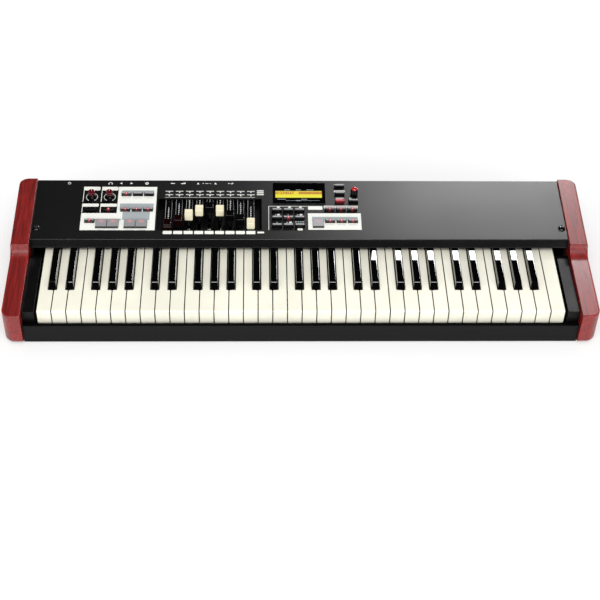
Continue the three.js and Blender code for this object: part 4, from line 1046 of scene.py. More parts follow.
def white_key(place, front, rear, bottom, top):
    """A white key as rounded rectangles carried back along y.

    Its top falls over the nose as a quarter circle, its bottom steps up behind the lip, and its sides move
    from the head's width to the tail's by a smooth step at the neck.
    """
    k = bpy.context.scene.organ_keys
    head_left, head_right, tail_left, tail_right = place
    low, _ = box("black_keys_octave_1")
    neck = low[1] - k.sharp_gap - k.gap
    under = top - k.body
    t = np.linspace(0, QUARTER, 7)
    nose = front + k.nose * (1 - np.cos(t))
    step = rear - k.spine - k.spine_step
    behind = front + k.lip_wall
    sway = np.linspace(-0.5, 0.5, 6) * MM
    y = np.concatenate([
        nose, [behind + 0.01 * MM, behind + 0.02 * MM], [front + 12 * MM, neck - 6 * MM], neck + sway,
        [neck + 4 * MM, step - 0.4 * MM, step, step, rear - 0.3 * MM, rear],
    ])
    rise = np.clip((y - front) / k.nose, 0, 1)
    crest = top - k.nose + k.nose * np.sqrt(np.maximum(0, 1 - (1 - rise) ** 2))
    last = len(y) - 3
    crest = np.where(np.arange(len(y)) >= last, under + k.spine_height, crest)
    floor = np.where(np.arange(len(y)) < 8, bottom, under)
    turn = np.clip((y - neck) / MM + 0.5, 0, 1)
    turn = turn * turn * (3 - 2 * turn)
    left = head_left + (tail_left - head_left) * turn + k.side_relief
    right = head_right + (tail_right - head_right) * turn - k.side_relief
    drawn = k.edge * np.sqrt(np.maximum(0, 1 - np.clip((y - front) / k.edge, 0, 1))) ** 2 * 0.6
    rings = round_rings(left + drawn, right - drawn, floor + drawn * 0.6, crest, k.edge)
    across, up = rings[..., 0], rings[..., 1]
    return skin(np.stack([across, np.repeat(y[:, None], rings.shape[1], 1), up], -1))


def key_sides(points, faces, top):
    """Which faces of a white key stand upright along its sides, below its rounded edges, to take painted
    shade.
    """
    corners = np.array([points[face[:4]] for face in faces])
    spread = np.ptp(corners, axis=1)
    below = corners[:, :, 2].mean(1) < top - 0.9 * MM
    return (spread[:, 0] < 0.3 * spread[:, 1]) & (spread[:, 2] > 0.5 * MM) & below


def sharp_key(x, front, rear, bottom, level):
    """A black key as rings carried back along y: upright to the white keys' level, then drawn in to its top.

    The leaning front and the level top are blended by (a + b - sqrt((a - b)^2 + k^2)) / 2, and the top height
    is the lesser of that and the rear ramp.
    """
    k = bpy.context.scene.organ_keys
    top = level + k.sharp_height
    ramp = front + k.sharp_length
    step = rear - k.spine - k.spine_step
    y = np.concatenate([
        front + np.array([0, 0.25, 0.6, 2.0, 4.0, 5.5, 6.5, 7.2, 7.8, 8.4, 9.2, 10.5, 12.5, 20]) * MM,
        np.linspace(front + 40 * MM, ramp - 4 * MM, 3), ramp + np.array([-1, 0, 1, 4, 9, 13.9]) * MM,
        [step, step + 0.01 * MM, rear],
    ])
    lean = level + (y - front) / k.sharp_lean * k.sharp_height
    blend = 1.6 * MM
    crest = (lean + top - np.sqrt((lean - top) ** 2 + blend ** 2)) / 2 + 0.04 * MM
    tongue = level - 0.5 * MM
    fall = top + (tongue - top) * np.clip((y - ramp) / k.sharp_ramp, 0, 1)
    crest = np.minimum(np.maximum(crest, level), fall)
    foot = k.sharp_foot / 2 - 0.5 * MM * np.clip(1 - (y - front) / (0.6 * MM), 0, 1)
    share_up = np.clip((crest - level) / k.sharp_height, 0, 1)
    half = foot - (k.sharp_foot - k.sharp_top) / 2 * share_up
    corner = np.clip((crest - level) * 0.6, 0.25 * MM, k.sharp_edge)
    shoulder = np.minimum(level, crest - corner)
    floor = np.where(y > step, tongue - k.spine_height, bottom)
    t = np.linspace(0, QUARTER, 5)
    side_x = (half - corner)[:, None] + corner[:, None] * np.cos(t)
    side_z = (crest - corner)[:, None] + corner[:, None] * np.sin(t)
    inner = (half - corner - 0.5 * MM)[:, None]
    right_x = np.concatenate([foot[:, None], foot[:, None], side_x, inner], 1)
    right_z = np.concatenate([floor[:, None], shoulder[:, None], side_z, crest[:, None]], 1)
    ring_x = np.concatenate([x + right_x, x - right_x[:, ::-1]], 1)
    ring_z = np.concatenate([right_z, right_z[:, ::-1]], 1)
    return skin(np.stack([ring_x, np.repeat(y[:, None], ring_x.shape[1], 1), ring_z], -1))


def spine(left, right, front, rear, bottom, top):
    """The hinge spine that joins an octave's keys: a long block with rounded edges."""
    return carried(round_rings(front, rear, bottom, top, 0.5 * MM)[0], left, right)


class OrganOperator:
    bl_options = {"REGISTER", "UNDO"}


class ORGAN_OT_white_keys(OrganOperator, bpy.types.Operator):
    """Thirty-six waterfall keys, each with its lip and notches, and the spine that hinges each octave."""
    bl_idname = "organ.white_keys"
    bl_label = "White keys"

    def execute(self, context):
        k = context.scene.organ_keys
        number = 0
        for octave in range(1, OCTAVES + 1):
            node, body = f"white_keys_octave_{octave}", f"whites_{octave}"
            low, high = box(node)
            whites, _ = octave_places(low[0])
            for place in whites:
                number += 1
                self.key(number, place, low, high, body, node)
            under = high[2] - k.body
            shape = spine(low[0], high[0], high[1] - k.spine, high[1], under, under + k.spine_height)
            make(f"White_Spine_{octave}", shape, "white_key", body, [node])
        low, high = box("white_key_top")
        self.key(number + 1, (low[0], high[0], low[0], high[0]), low, high, "top_c", "white_key_top")
        return {"FINISHED"}

    def key(self, number, place, low, high, body, node):
        shape = white_key(place, low[1], high[1], low[2], high[2])
        sides = key_sides(*shape, high[2])
        # The upright sides take a darker finish, painted shade for the gaps between keys.
        make(f"White_Key_{number:02d}", shape, ["white_key", "key_side"], body, [node], numbers=sides)


class ORGAN_OT_black_keys(OrganOperator, bpy.types.Operator):
    """Twenty-five black keys with leaning fronts and rounded tops, and the spine that hinges each octave."""
    bl_idname = "organ.black_keys"
    bl_label = "Black keys"

    def execute(self, context):
        k = context.scene.organ_keys
        number = 0
        for octave in range(1, OCTAVES + 1):
            node, body = f"black_keys_octave_{octave}", f"blacks_{octave}"
            low, high = box(node)
            left = box(f"white_keys_octave_{octave}")[0][0]
            level = high[2] - k.sharp_height
            for x in octave_places(left)[1]:
                number += 1
                shape = sharp_key(x, low[1], high[1], low[2], level)
                make(f"Black_Key_{number:02d}", shape, "sharp", body, [node])
            top = level - 0.5 * MM
            shape = spine(low[0], high[0], high[1] - k.spine, high[1], top - k.spine_height, top)
            make(f"Black_Spine_{octave}", shape, "sharp", body, [node])
        return {"FINISHED"}


# Case

def cheek(node):
    """A cheek: its side outline carried outwards and drawn in near both faces, its ends pulled in.

    At a distance d from the outer face an end moves in by r - sqrt(r^2 - (r - d)^2), less along the cheek.
    """
    c = bpy.context.scene.organ_case
    low, high = box(node)
    side = math.copysign(1, low[0] + high[0])
    _, slope = deck_frame()

    def top_at(y):
        return c.deck_height + c.cheek_rise + (y - c.deck_front) * math.tan(slope)

    shoulder = c.deck_front - c.cheek_shoulder
    span = math.acos(1 - c.cheek_cove_drop / c.cheek_cove)
    arm_rear = shoulder - c.cheek_cove * math.sin(span)
    arm_top = top_at(shoulder) - c.cheek_cove_drop
    front, rear, base = low[1], high[1], low[2] - c.skirt
    arm_front = arm_top - c.cheek_drop
    edge, toe = c.cheek_end, c.cheek_toe
    foot = round_off = 2.8 * MM
    rear_top = high[2]
    reach = round_off * math.tan(span / 2)
    cove_start = span - QUARTER - reach / c.cheek_cove
    cove = arc((arm_rear, arm_top + c.cheek_cove), c.cheek_cove, cove_start, -QUARTER, 12)
    lip = arc((shoulder + reach, top_at(shoulder) - round_off), round_off, QUARTER, QUARTER + span, 5)
    outline = np.concatenate([
        arc((rear - foot, base + foot), foot, -QUARTER, 0, 3),
        arc((rear - edge, rear_top - edge), edge, 0, QUARTER, 5),
        lip, cove, np.linspace(
            (arm_rear - 20 * MM, arm_top - c.cheek_drop * 0.15), (front + 30 * MM, arm_front + 0.4 * MM), 5),
        arc((front + edge, arm_front - edge), edge, QUARTER, 2 * QUARTER, 5),
        arc((front + toe, base + toe), toe, 2 * QUARTER, 3 * QUARTER, 7),
    ])
    normal = outward(outline)
    wide = high[0] - low[0]
    t = np.linspace(0, QUARTER, 5)
    inner, outer = c.cheek_inner, c.cheek_outer
    curve = np.linspace(0, QUARTER, 9)[1:-1]
    corner = wide - c.cheek_front * (1 - np.sin(curve))
    corner = corner[corner < wide - outer]
    x = np.concatenate([inner * (1 - np.cos(t)), corner, wide - outer * (1 - np.sin(t))])
    inset = np.concatenate([inner * (1 - np.sin(t)), np.zeros(len(corner)), outer * (1 - np.cos(t))])

    def pulled(radius):
        near = np.clip(radius - (wide - x), 0, radius)
        return radius - np.sqrt(radius ** 2 - near ** 2)

    y, z = np.moveaxis(outline[None] - inset[:, None, None] * normal[None], -1, 0)
    fade = 2.4
    y = y + pulled(c.cheek_front)[:, None] * np.clip(1 - (y - front) / (fade * c.cheek_front), 0, 1)
    y = y - pulled(c.cheek_rear)[:, None] * np.clip(1 - (rear - y) / (fade * c.cheek_rear), 0, 1)
    inner_x = low[0] if side > 0 else high[0]
    across = inner_x + side * x
    return skin(np.stack([np.repeat(across[:, None], len(outline), 1), y, z], -1))


class ORGAN_OT_cheeks(OrganOperator, bpy.types.Operator):
    """Two wooden cheeks with a cove in front of the deck."""
    bl_idname = "organ.cheeks"
    bl_label = "Cheeks"

    def execute(self, context):
        for name in ("left", "right"):
            node = f"cheek_{name}"
            make(f"Cheek_{name.title()}", cheek(node), "wood", replaces=[node], sharp=50)
        return {"FINISHED"}


BUTTON_NODES = (
    "buttons_left_pair", "buttons_left_upper_row", "buttons_left_middle_row", "buttons_left_lower_group",
    "buttons_left_lower_pair", "buttons_number_grid", "buttons_preset_row", "buttons_right_lower_group",
    "buttons_menu_column", "button_record", "button_play",
)
KNOB_NODES = ("volume_knob", "drive_knob", "value_dial")


def panel_holes():
    """Every hole in the deck as (left, right, front, rear): buttons, shafts, recess and screen."""
    def hole(left, right, front, rear, room):
        return left - room, right + room, front - room, rear + room

    room = bpy.context.scene.organ_controls.cap_clearance
    holes = [hole(*cap[:4], room) for node in BUTTON_NODES for cap in caps_of(node)]
    for node in KNOB_NODES:
        x, v = middle_of(node)
        holes.append(hole(x, x, v, v, 3.5 * MM))
    for (low, high), room in ((deck_box("drawbar_tray"), -2 * MM), (screen_box(), 0.6 * MM)):
        holes.append(hole(low[0], high[0], low[1], high[1], room))
    return holes


def screen_box():
    """The lit block of the display, from the points of the display's solid that are level with the panel."""
    points = deck_points("display_module")
    top = points[points[:, 2] > -0.1 * MM]
    return top.min(0), top.max(0)


class ORGAN_OT_top_panel(OrganOperator, bpy.types.Operator):
    """The folded top panel with its slanted fascia, cut out for every control."""
    bl_idname = "organ.top_panel"
    bl_label = "Top panel"

    def execute(self, context):
        c = context.scene.organ_case
        low, high = deck_box("top_panel")
        holes = panel_holes()
        path = filleted([
            (c.fascia_flange, -c.fascia_drop), (-c.fascia_lean, -c.fascia_drop), (0, 0), (high[1], 0),
        ], c.deck_bend)
        start = path[-2, 0]
        up = lines(start, high[1], [m for hole in holes for m in hole[2:]], 12 * MM)
        path = np.concatenate([path[:-2], np.stack([up, np.zeros(len(up))], -1)])
        columns = lines(low[0], high[0], [m for hole in holes for m in hole[:2]], 24 * MM)
        points, faces, _ = sheet(path, columns, holes)
        # The fascia's faces, lower than the deck, take that darker copy of the paint: painted shade.
        low_faces = points[np.array(faces)].mean(1)[:, 2] < -1.0 * MM
        piece = lay("Top_Panel", (points, faces), ["panel", "fascia"], replaces=["top_panel"], sharp=60,
                    closed=False, numbers=low_faces)
        thicken(piece, c.deck_sheet)
        side, rear, under = 2 * MM, high[1], -c.deck_sheet - 0.05 * MM
        seal = pad(low[0] + side, high[0] - side, rear - 6 * MM, rear - 3 * MM, -4 * MM, under)
        lay("Rear_Seal", seal, "rubber")
        return {"FINISHED"}


class ORGAN_OT_case(OrganOperator, bpy.types.Operator):
    """Front rail, end blocks, feet, and the finish of the floor and rear panel."""
    bl_idname = "organ.case"
    bl_label = "Case"

    def execute(self, context):
        c = context.scene.organ_case
        low, high = box("front_rail")
        front, top, t = low[1], high[2], c.rail_sheet
        base = low[2] - c.skirt
        bend = c.rail_bend
        outline = np.concatenate([
            [(front, base), (front + t, base), (front + t, top - t), (high[1], top - t), (high[1], top)],
            arc((front + bend, top - bend), bend, QUARTER, 2 * QUARTER, 5),
        ])
        points, faces = carried(outline, low[0], high[0], 0.3 * MM)
        # The rail's top flange takes the near-black finish: painted shade for the gap in front of the keys.
        flange = [points[face][:, 1].min() > front + bend - 0.1 * MM for face in faces]
        make("Front_Rail", (points, faces), ["rail", "flange"], replaces=["front_rail"], numbers=flange)
        for name in ("left", "right"):
            node = f"end_block_{name}"
            low, high = box(node)
            e = c.block_edge
            outline = np.concatenate([
                arc((high[1] - e, low[2] + e), e, -QUARTER, 0, 2),
                arc((high[1] - e, high[2] - e), e, 0, QUARTER, 4),
                arc((low[1] + e, high[2] - e), e, QUARTER, 2 * QUARTER, 4),
                arc((low[1] + e, low[2] + e), e, 2 * QUARTER, 3 * QUARTER, 2),
            ])
            block = carried(outline, low[0], high[0], 0.7 * MM)
            make(f"End_Block_{name.title()}", block, "block", replaces=[node])
        for name in ("front_left", "front_right", "rear_left", "rear_right"):
            self.foot(name)
        for node in ("bottom_case", "rear_panel"):
            use(node, "case")
        return {"FINISHED"}

    def foot(self, name):
        """A rubber foot with a recess for its screw, both in parts of the foot's radius and height."""
        low, high = box(f"foot_{name}")
        x, y = (low[0] + high[0]) / 2, (low[1] + high[1]) / 2
        r, h = (high[0] - low[0]) / 2, high[2]
        profile = np.array([
            (0.18, 0.55), (0.36, 0.52), (0.38, 0.08), (0.44, 0), (0.78, 0), (0.86, 0.06), (0.93, 0.3),
            (1, 0.62), (1, 0.94), (0.96, 1), (0.2, 1),
        ]) * [r, h]
        make(f"Foot_{name.title()}", lathe(profile, (x, y), 40), "rubber", replaces=[f"foot_{name}"])
        screw = np.array([(0.05, 0.34), (0.2, 0.34), (0.3, 0.42), (0.3, 0.56), (0.05, 0.56)]) * [r, h]
        make(f"Foot_Screw_{name.title()}", lathe(screw, (x, y), 20), "steel")


class ORGAN_OT_inside(OrganOperator, bpy.types.Operator):
    """Finishes of what lies inside the case."""
    bl_idname = "organ.inside"
    bl_label = "Inside"

    def execute(self, context):
        for node, name in {
            "key_frame": "zinc", "key_felt_strip": "felt", "key_contact_board": "board",
            "main_board": "board", "panel_board_left": "board", "panel_board_right": "board",
            "drawbar_tray": "tray", "jack_board": "plastic", "power_inlet": "plastic",
            "display_module": "board",
        }.items():
            use(node, name)
        return {"FINISHED"}


# Controls

LAMP_CAPS = {
    "buttons_left_pair": (1,),
    "buttons_left_upper_row": (0,),
    "buttons_left_middle_row": (0, 1, 2),
    "buttons_left_lower_group": (0,),
    "buttons_number_grid": (4,),
    "buttons_preset_row": (0, 1, 2),
    "buttons_right_lower_group": (0, 1, 2),
}


def within(shape, left, right, front, rear):
    """A UV square over a rectangle of the deck."""
    return (shape[0][:, :2] - [left, front]) / [right - left, rear - front]


class ORGAN_OT_buttons(OrganOperator, bpy.types.Operator):
    """Every push button with its lamp, on the strip that carries it."""
    bl_idname = "organ.buttons"
    bl_label = "Buttons"

    def execute(self, context):
        s = context.scene.organ_controls
        for node in BUTTON_NODES:
            body = f"{node}_strip" if node.startswith("buttons") else f"{node}_cap"
            title = node.title()
            low, high = deck_box(node)
            top = low[2] + s.strip
            strip = pad(low[0], high[0], low[1], high[1], low[2], top, 1.0 * MM, 0.3 * MM)
            lay(f"{title}_Strip", strip, "plastic", body, [node])
            foot = top - 0.2 * MM
            smalls = [cap for cap in caps_of(node) if is_small(cap)]
            squares = [cap for cap in caps_of(node) if not is_small(cap)]
            for i, cap in enumerate(smalls):
                self.small(f"{title}_Cap_{i + 1}", node, body, cap, foot, i in LAMP_CAPS.get(node, ()))
            for i, cap in enumerate(squares):
                shape = pad(*cap[:4], foot, cap.rise, 1.2 * MM, 1.0 * MM, 4)
                name = "pale_button" if node == "buttons_right_lower_group" else "grey_button"
                lay(f"{title}_Square_{i + 1}", shape, name, body, uv=within(shape, *cap[:4]))
        return {"FINISHED"}

    def small(self, name, node, body, cap, foot, lit):
        """A pad with wide round edges: its flat top, the last face, has a finish of its own."""
        shape = pad(*cap[:4], foot, cap.rise, 1.3 * MM, 0.9 * MM, 4)
        face_finishes = [0] * (len(shape[1]) - 1) + [1]
        # cap_top paints a pale highlight band across the top, record_top a paler patch, and cap_dark has
        # none.
        side, crown = "cap_side", "cap_top"
        if node == "button_record":
            side, crown = "record_side", "record_top"
        if node == "buttons_left_pair":
            crown = "cap_dark"
        if lit:
            side, crown = "lit_side", "lit_dark" if crown == "cap_dark" else "lit_top"
        lay(name, shape, [side, crown], body, uv=within(shape, *cap[:4]), numbers=face_finishes)
        if lit:
            x, v = (cap.left + cap.right) / 2, (cap.front + cap.rear) / 2
            reach = 1.2 * MM
            lens = disc(x, v, reach, cap.rise - 1.0 * MM, cap.rise + 0.1 * MM)
            uv = within(lens, x - reach, x + reach, v - reach, v + reach)
            lay(f"{name}_Lamp", lens, "lamp", body, uv=uv)


class ORGAN_OT_knobs(OrganOperator, bpy.types.Operator):
    """Two knobs with red tops, and the tall value dial."""
    bl_idname = "organ.knobs"
    bl_label = "Knobs and dial"

    def execute(self, context):
        self.knob("volume_knob", "volume", 18)
        self.knob("drive_knob", "drive", 18)
        self.knob("value_dial", "value", 30)
        return {"FINISHED"}

    def knob(self, node, body, flutes):
        """A fluted body, and on it a red top: a deep sleeve with a pointer on a knob, a dome on the dial."""
        low, high = deck_box(node)
        x, v = middle_of(node)
        skirt = (high[0] - low[0]) / 2
        dial = node == "value_dial"
        radius = skirt if dial else skirt - 1.2 * MM
        base = 0.3 * MM if dial else 1.4 * MM
        top = high[2] - 0.3 * MM
        seam = top - (2.9 if dial else 6.0) * MM
        waist = radius - (0 if dial else 0.7) * MM
        shaft, shoulder = 3 * MM, base + 2.5 * MM
        profile = [(0.2 * MM, low[2]), (shaft, low[2]), (shaft, base)]
        profile += [(skirt - 0.2 * MM, base), (skirt, base + 0.3 * MM)]
        if not dial:
            profile += [(skirt, shoulder - 1.3 * MM), (waist + 0.3 * MM, shoulder - 0.3 * MM)]
        profile += [(waist, z) for z in np.linspace(shoulder, seam - 0.3 * MM, 5)]
        profile += [(waist - 0.2 * MM, seam), (waist - 0.8 * MM, seam + 0.2 * MM)]
        shape = lathe(profile, (x, v), flutes * 6, flutes, 0.4 * MM, (shoulder, seam - 0.3 * MM))
        title = node.title()
        lay(title, shape, "gloss", body, [node])
        if dial:
            t = np.linspace(0, QUARTER - 0.04, 8)
            foot, rise = seam + 0.1 * MM, top + 0.2 * MM - seam
            dome = np.stack([5.0 * MM * np.cos(t), foot + rise * np.sin(t)], -1)
            lay(f"{title}_Dome", lathe(dome, (x, v), 48), "red_gloss", body)
            return
        rim = [(radius - 0.9 * MM, seam), (radius - 0.2 * MM, seam + 0.1 * MM), (radius, seam + 0.4 * MM)]
        rim += [(radius, z) for z in np.linspace(seam + 0.6 * MM, top - 0.9 * MM, 3)]
        round_edge = ((0.25, 0.35), (0.8, 0.05), (1.3, 0.02))
        rim += [(radius - inset * MM, top - drop * MM) for inset, drop in round_edge]
        rim += [(radius * k, top - (0.25 - 0.2 * (1 - k)) * MM) for k in (0.7, 0.5, 0.25, 0.03)]
        sleeve = lathe(rim, (x, v), flutes * 6, flutes, 0.35 * MM, (seam + 0.5 * MM, top - 0.6 * MM))
        lay(f"{title}_Top", sleeve, "knob_red", body)
        half, front, rear = 0.4 * MM, v + 1.5 * MM, v + radius - 1.4 * MM
        pointer = pad(x - half, x + half, front, rear, top - 0.8 * MM, high[2], 0.2 * MM, 0.1 * MM)
        lay(f"{title}_Pointer", pointer, "print", body)


def beside(cap, edge, left, right, front, rear, level=0.0, corner=0.3):
    """A printed bar beside a button, in mm: left and right in from its sides, front and rear from edge."""
    return ink_bar(
        cap.left + left * MM, cap.right - right * MM, edge + front * MM, edge + rear * MM, level, corner * MM)


class ORGAN_OT_control_plates(OrganOperator, bpy.types.Operator):
    """The two printed plates, with their white, grey and black fields."""
    bl_idname = "organ.control_plates"
    bl_label = "Printed plates"

    def execute(self, context):
        self.left()
        self.right()
        return {"FINISHED"}

    def plate(self, name, node, fields):
        """A plate as a grid with holes, whose cells take the ink of the field that they lie in."""
        low, high = deck_box(node)
        holes = [
            (left, right, front, rear) for left, right, front, rear in panel_holes()
            if low[0] < left and right < high[0] and low[1] < front and rear < high[1]]
        step = 8 * MM
        up = lines(low[1], high[1], [m for h in [*holes, *fields] for m in h[2:4]], step)
        columns = lines(low[0], high[0], [m for h in [*holes, *fields] for m in h[:2]], step)
        path = np.stack([up, np.full(len(up), high[2])], -1)
        points, faces, face_finishes = sheet(path, columns, holes, fields)
        inks_of_fields = ["print", "print_grey", "print_black"]
        piece = lay(name, (points, faces), inks_of_fields, replaces=[node], closed=False, numbers=face_finishes)
        thicken(piece, bpy.context.scene.organ_controls.plate)

    def left(self):
        """White ground, two black columns for the knobs and their buttons, and grey bands behind the rows."""
        low, high = deck_box("control_plate_left")
        left, rear, top = low[0], high[1], high[2]
        cell = low[1] + 38.9 * MM
        self.plate("Control_Plate_Left", "control_plate_left", self.left_fields(left, rear, cell))
        tab, tab_deep, rear_tab = cell + 15 * MM, 7.2 * MM, rear - 8.8 * MM
        tabs = []
        for start in (left, left + 30.5 * MM):
            edge = start + 0.1 * MM
            for front, back in ((tab, tab + tab_deep), (rear_tab, rear)):
                tabs.append(ink_bar(edge, start + 28.0 * MM, front, back, top, 2.0 * MM))
                tabs.append(ink_bar(edge, start + 6.0 * MM, front, back, top, 0.3 * MM, 0.98))
            for front, back in ((cell + 1 * MM, tab), (cell + 26.7 * MM, rear_tab)):
                tabs.append(ink_bar(edge, start + 1.2 * MM, front, back + 0.5 * MM, top, 0.1 * MM, 0.96))
        lay("Left_Plate_Tabs", gather(tabs), "print")
        lay("Left_Plate_Scales", gather([*self.scale("volume_knob", top), *self.scale("drive_knob", top)]),
            "print_pale")
        squares = caps_of("buttons_left_lower_group")[1:] + caps_of("buttons_left_lower_pair")
        rules = [beside(cap, cap.front, 2, 2, -4.2, -3.6, top, 0.2) for cap in squares]
        smalls = caps_of("buttons_left_upper_row")
        rules += [beside(cap, cap.front, 1, 1, -4.6, -3.8, top, 0.2) for cap in smalls]
        lay("Left_Plate_Rules", gather(rules), "print_grey")

    def left_fields(self, left, rear, cell):
        """The fields of the left plate as (left, right, front, rear, ink)."""
        grey, black = 1, 2
        upper_row, lower = deck_box("buttons_left_upper_row"), deck_box("buttons_left_lower_pair")
        row_left, row_right = upper_row[0][0] + 1.5 * MM, upper_row[1][0] - 1.5 * MM
        upper, middle = middle_of("buttons_left_upper_row")[1], middle_of("buttons_left_middle_row")[1]
        lower_rear = lower[1][1]
        return [
            (left - 1 * MM, left + 59 * MM, cell, rear + 1 * MM, black),
            (row_left, row_right, upper + 2.0 * MM, upper + 10.4 * MM, grey),
            (row_left - 1.5 * MM, row_right + 0.6 * MM, middle + 1.0 * MM, middle + 15.5 * MM, grey),
            (row_left + 4 * MM, row_right - 5 * MM, lower_rear - 1 * MM, middle - 3.4 * MM, grey),
            (left + 6.5 * MM, lower[0][0] - 4.5 * MM, lower_rear - 2.5 * MM, lower_rear + 2.0 * MM, grey),
        ]

    def scale(self, node, top):
        """Two arcs round a knob, right and left, each with a disc at both ends."""
        rise = bpy.context.scene.organ_controls.print_rise
        x, v = middle_of(node)
        v -= 1.0 * MM
        inner, outer, reach, dot, sweep = 9.0 * MM, 9.9 * MM, 9.4 * MM, 0.9 * MM, 0.95
        for mid in (0, math.pi):
            yield ring_mark(x, v, inner, outer, top, top + rise, mid - sweep, mid + sweep, 14)
            for end in (mid - sweep, mid + sweep):
                yield disc(x + reach * math.cos(end), v + reach * math.sin(end), dot, top, top + rise, 12)

    def right(self):
        """White ground, and a grey band behind the front row."""
        node = "control_plate_right"
        (left, *_), (right, rear, _) = deck_box("buttons_right_lower_group")
        band = (left + 0.5 * MM, right - 1.5 * MM, rear - 3.4 * MM, rear + 5.6 * MM, 1)
        self.plate("Control_Plate_Right", node, [band])
        top = deck_box(node)[1][2]
        smalls = [cap for cap in caps_of("buttons_right_lower_group") if is_small(cap)]
        rules = [beside(cap, cap.front, 1, 1, -4.6, -3.9, top, 0.2) for cap in smalls]
        lay("Right_Plate_Rules", gather(rules), "print_grey")


DRAWBAR_CAPS = ("brown", "brown", "white", "white", "black", "white", "black", "black", "white")


def drawbar_cap(x, front, rear, half, bottom):
    """A drawbar's cap as rings along v: flat sides, round top edges, and a dish that falls by dish (1 - s^2)
    between the raised ends, s running from -1 to 1. Every point leans in with height, so both ends slope."""
    s = bpy.context.scene.organ_controls
    middle, reach = (front + rear) / 2, (rear - front) / 2
    span = np.concatenate([[-1, -0.985, -0.95, -0.9], np.linspace(-0.78, 0.78, 9), [0.9, 0.95, 0.985, 1]])
    raised = 0.88
    edge = np.clip((np.abs(span) - raised) / (1 - raised), 0, 1)
    dish = s.cap_dish * (1 - np.clip(np.abs(span) / raised, 0, 1) ** 2)
    crest = s.cap_rise - 1.0 * MM * (1 - np.sqrt(1 - edge ** 2)) - dish
    drawn = 0.4 * MM * edge ** 2
    rings = round_rings(x - half + drawn, x + half - drawn, bottom, crest, 1.4 * MM, 4)
    lean = s.cap_lean * (rings[..., 1] - bottom) / (s.cap_rise - bottom)
    v = middle + span[:, None] * (reach - lean)
    return skin(np.stack([rings[..., 0], v, rings[..., 1]], -1))


class ORGAN_OT_drawbars(OrganOperator, bpy.types.Operator):
    """Nine drawbars: dished caps on flat bars with printed numerals, each with the keel that guides it."""
    bl_idname = "organ.drawbars"
    bl_label = "Drawbars"

    def execute(self, context):
        s = context.scene.organ_controls
        for i, tone in enumerate(DRAWBAR_CAPS, 1):
            node = f"drawbar_{i}"
            low, high = deck_box(node)
            x, half = (low[0] + high[0]) / 2, (high[0] - low[0]) / 2
            front, rear = low[1], low[1] + s.cap_length
            bottom = s.bar_top - s.bar_sheet

            def block(name, finishes, side, start, end, under, over, corner, edge):
                shape = pad(x - side, x + side, start, end, under, over, corner * MM, edge * MM)
                lay(f"Drawbar_{i}_{name}", shape, finishes, node, [node])

            cap = drawbar_cap(x, front, rear, half, s.cap_bottom)
            lay(f"Drawbar_{i}_Cap", cap, f"cap_{tone}", node, [node])
            in_cap, lug_top = 0.8 * MM, s.cap_bottom + 0.3 * MM
            block("Lug", "plastic", half - 1.2 * MM, front + in_cap, rear - in_cap, bottom, lug_top, 1.0, 0.2)
            start = rear - 2 * s.cap_lean
            block("Bar", "gloss", s.bar_width / 2, start, high[1], bottom, s.bar_top, 0.6, 0.4)
            end, keel_top = rear - (s.cap_length - s.keel_length) / 2, bottom + 0.5 * MM
            block("Keel", "plastic", s.keel_width / 2, end - s.keel_length, end, low[2], keel_top, 0.8, 0.1)
            self.print_bar(i, x, rear, high[1], node)
        return {"FINISHED"}

    def print_bar(self, i, x, rear, end, body):
        """Numerals from 8 down to 1 along the middle of a bar, and near each edge a fine line of painted
        highlight.
        """
        s = bpy.context.scene.organ_controls
        level, start, step, size = s.bar_top, rear + 2.6 * MM, 4.9 * MM, 3.4 * MM
        high = level + s.print_rise
        marks = [numeral(str(8 - k), x, start + k * step, size, level, high) for k in range(8)]
        lay(f"Drawbar_{i}_Numerals", gather(marks), "print", body)
        edge, half = s.bar_width / 2 - 0.8 * MM, 0.3 * MM
        # Both lines are painted highlights on the bar's edges, the left one lighter than the right.
        for at, name, ink in ((x - edge, "Left", "print_grey"), (x + edge, "Right", "print_dim")):
            edge_glint = ink_bar(at - half, at + half, rear + 0.5 * MM, end - 1 * MM, level, 0.1 * MM)
            lay(f"Drawbar_{i}_Rule_{name}", edge_glint, ink, body)


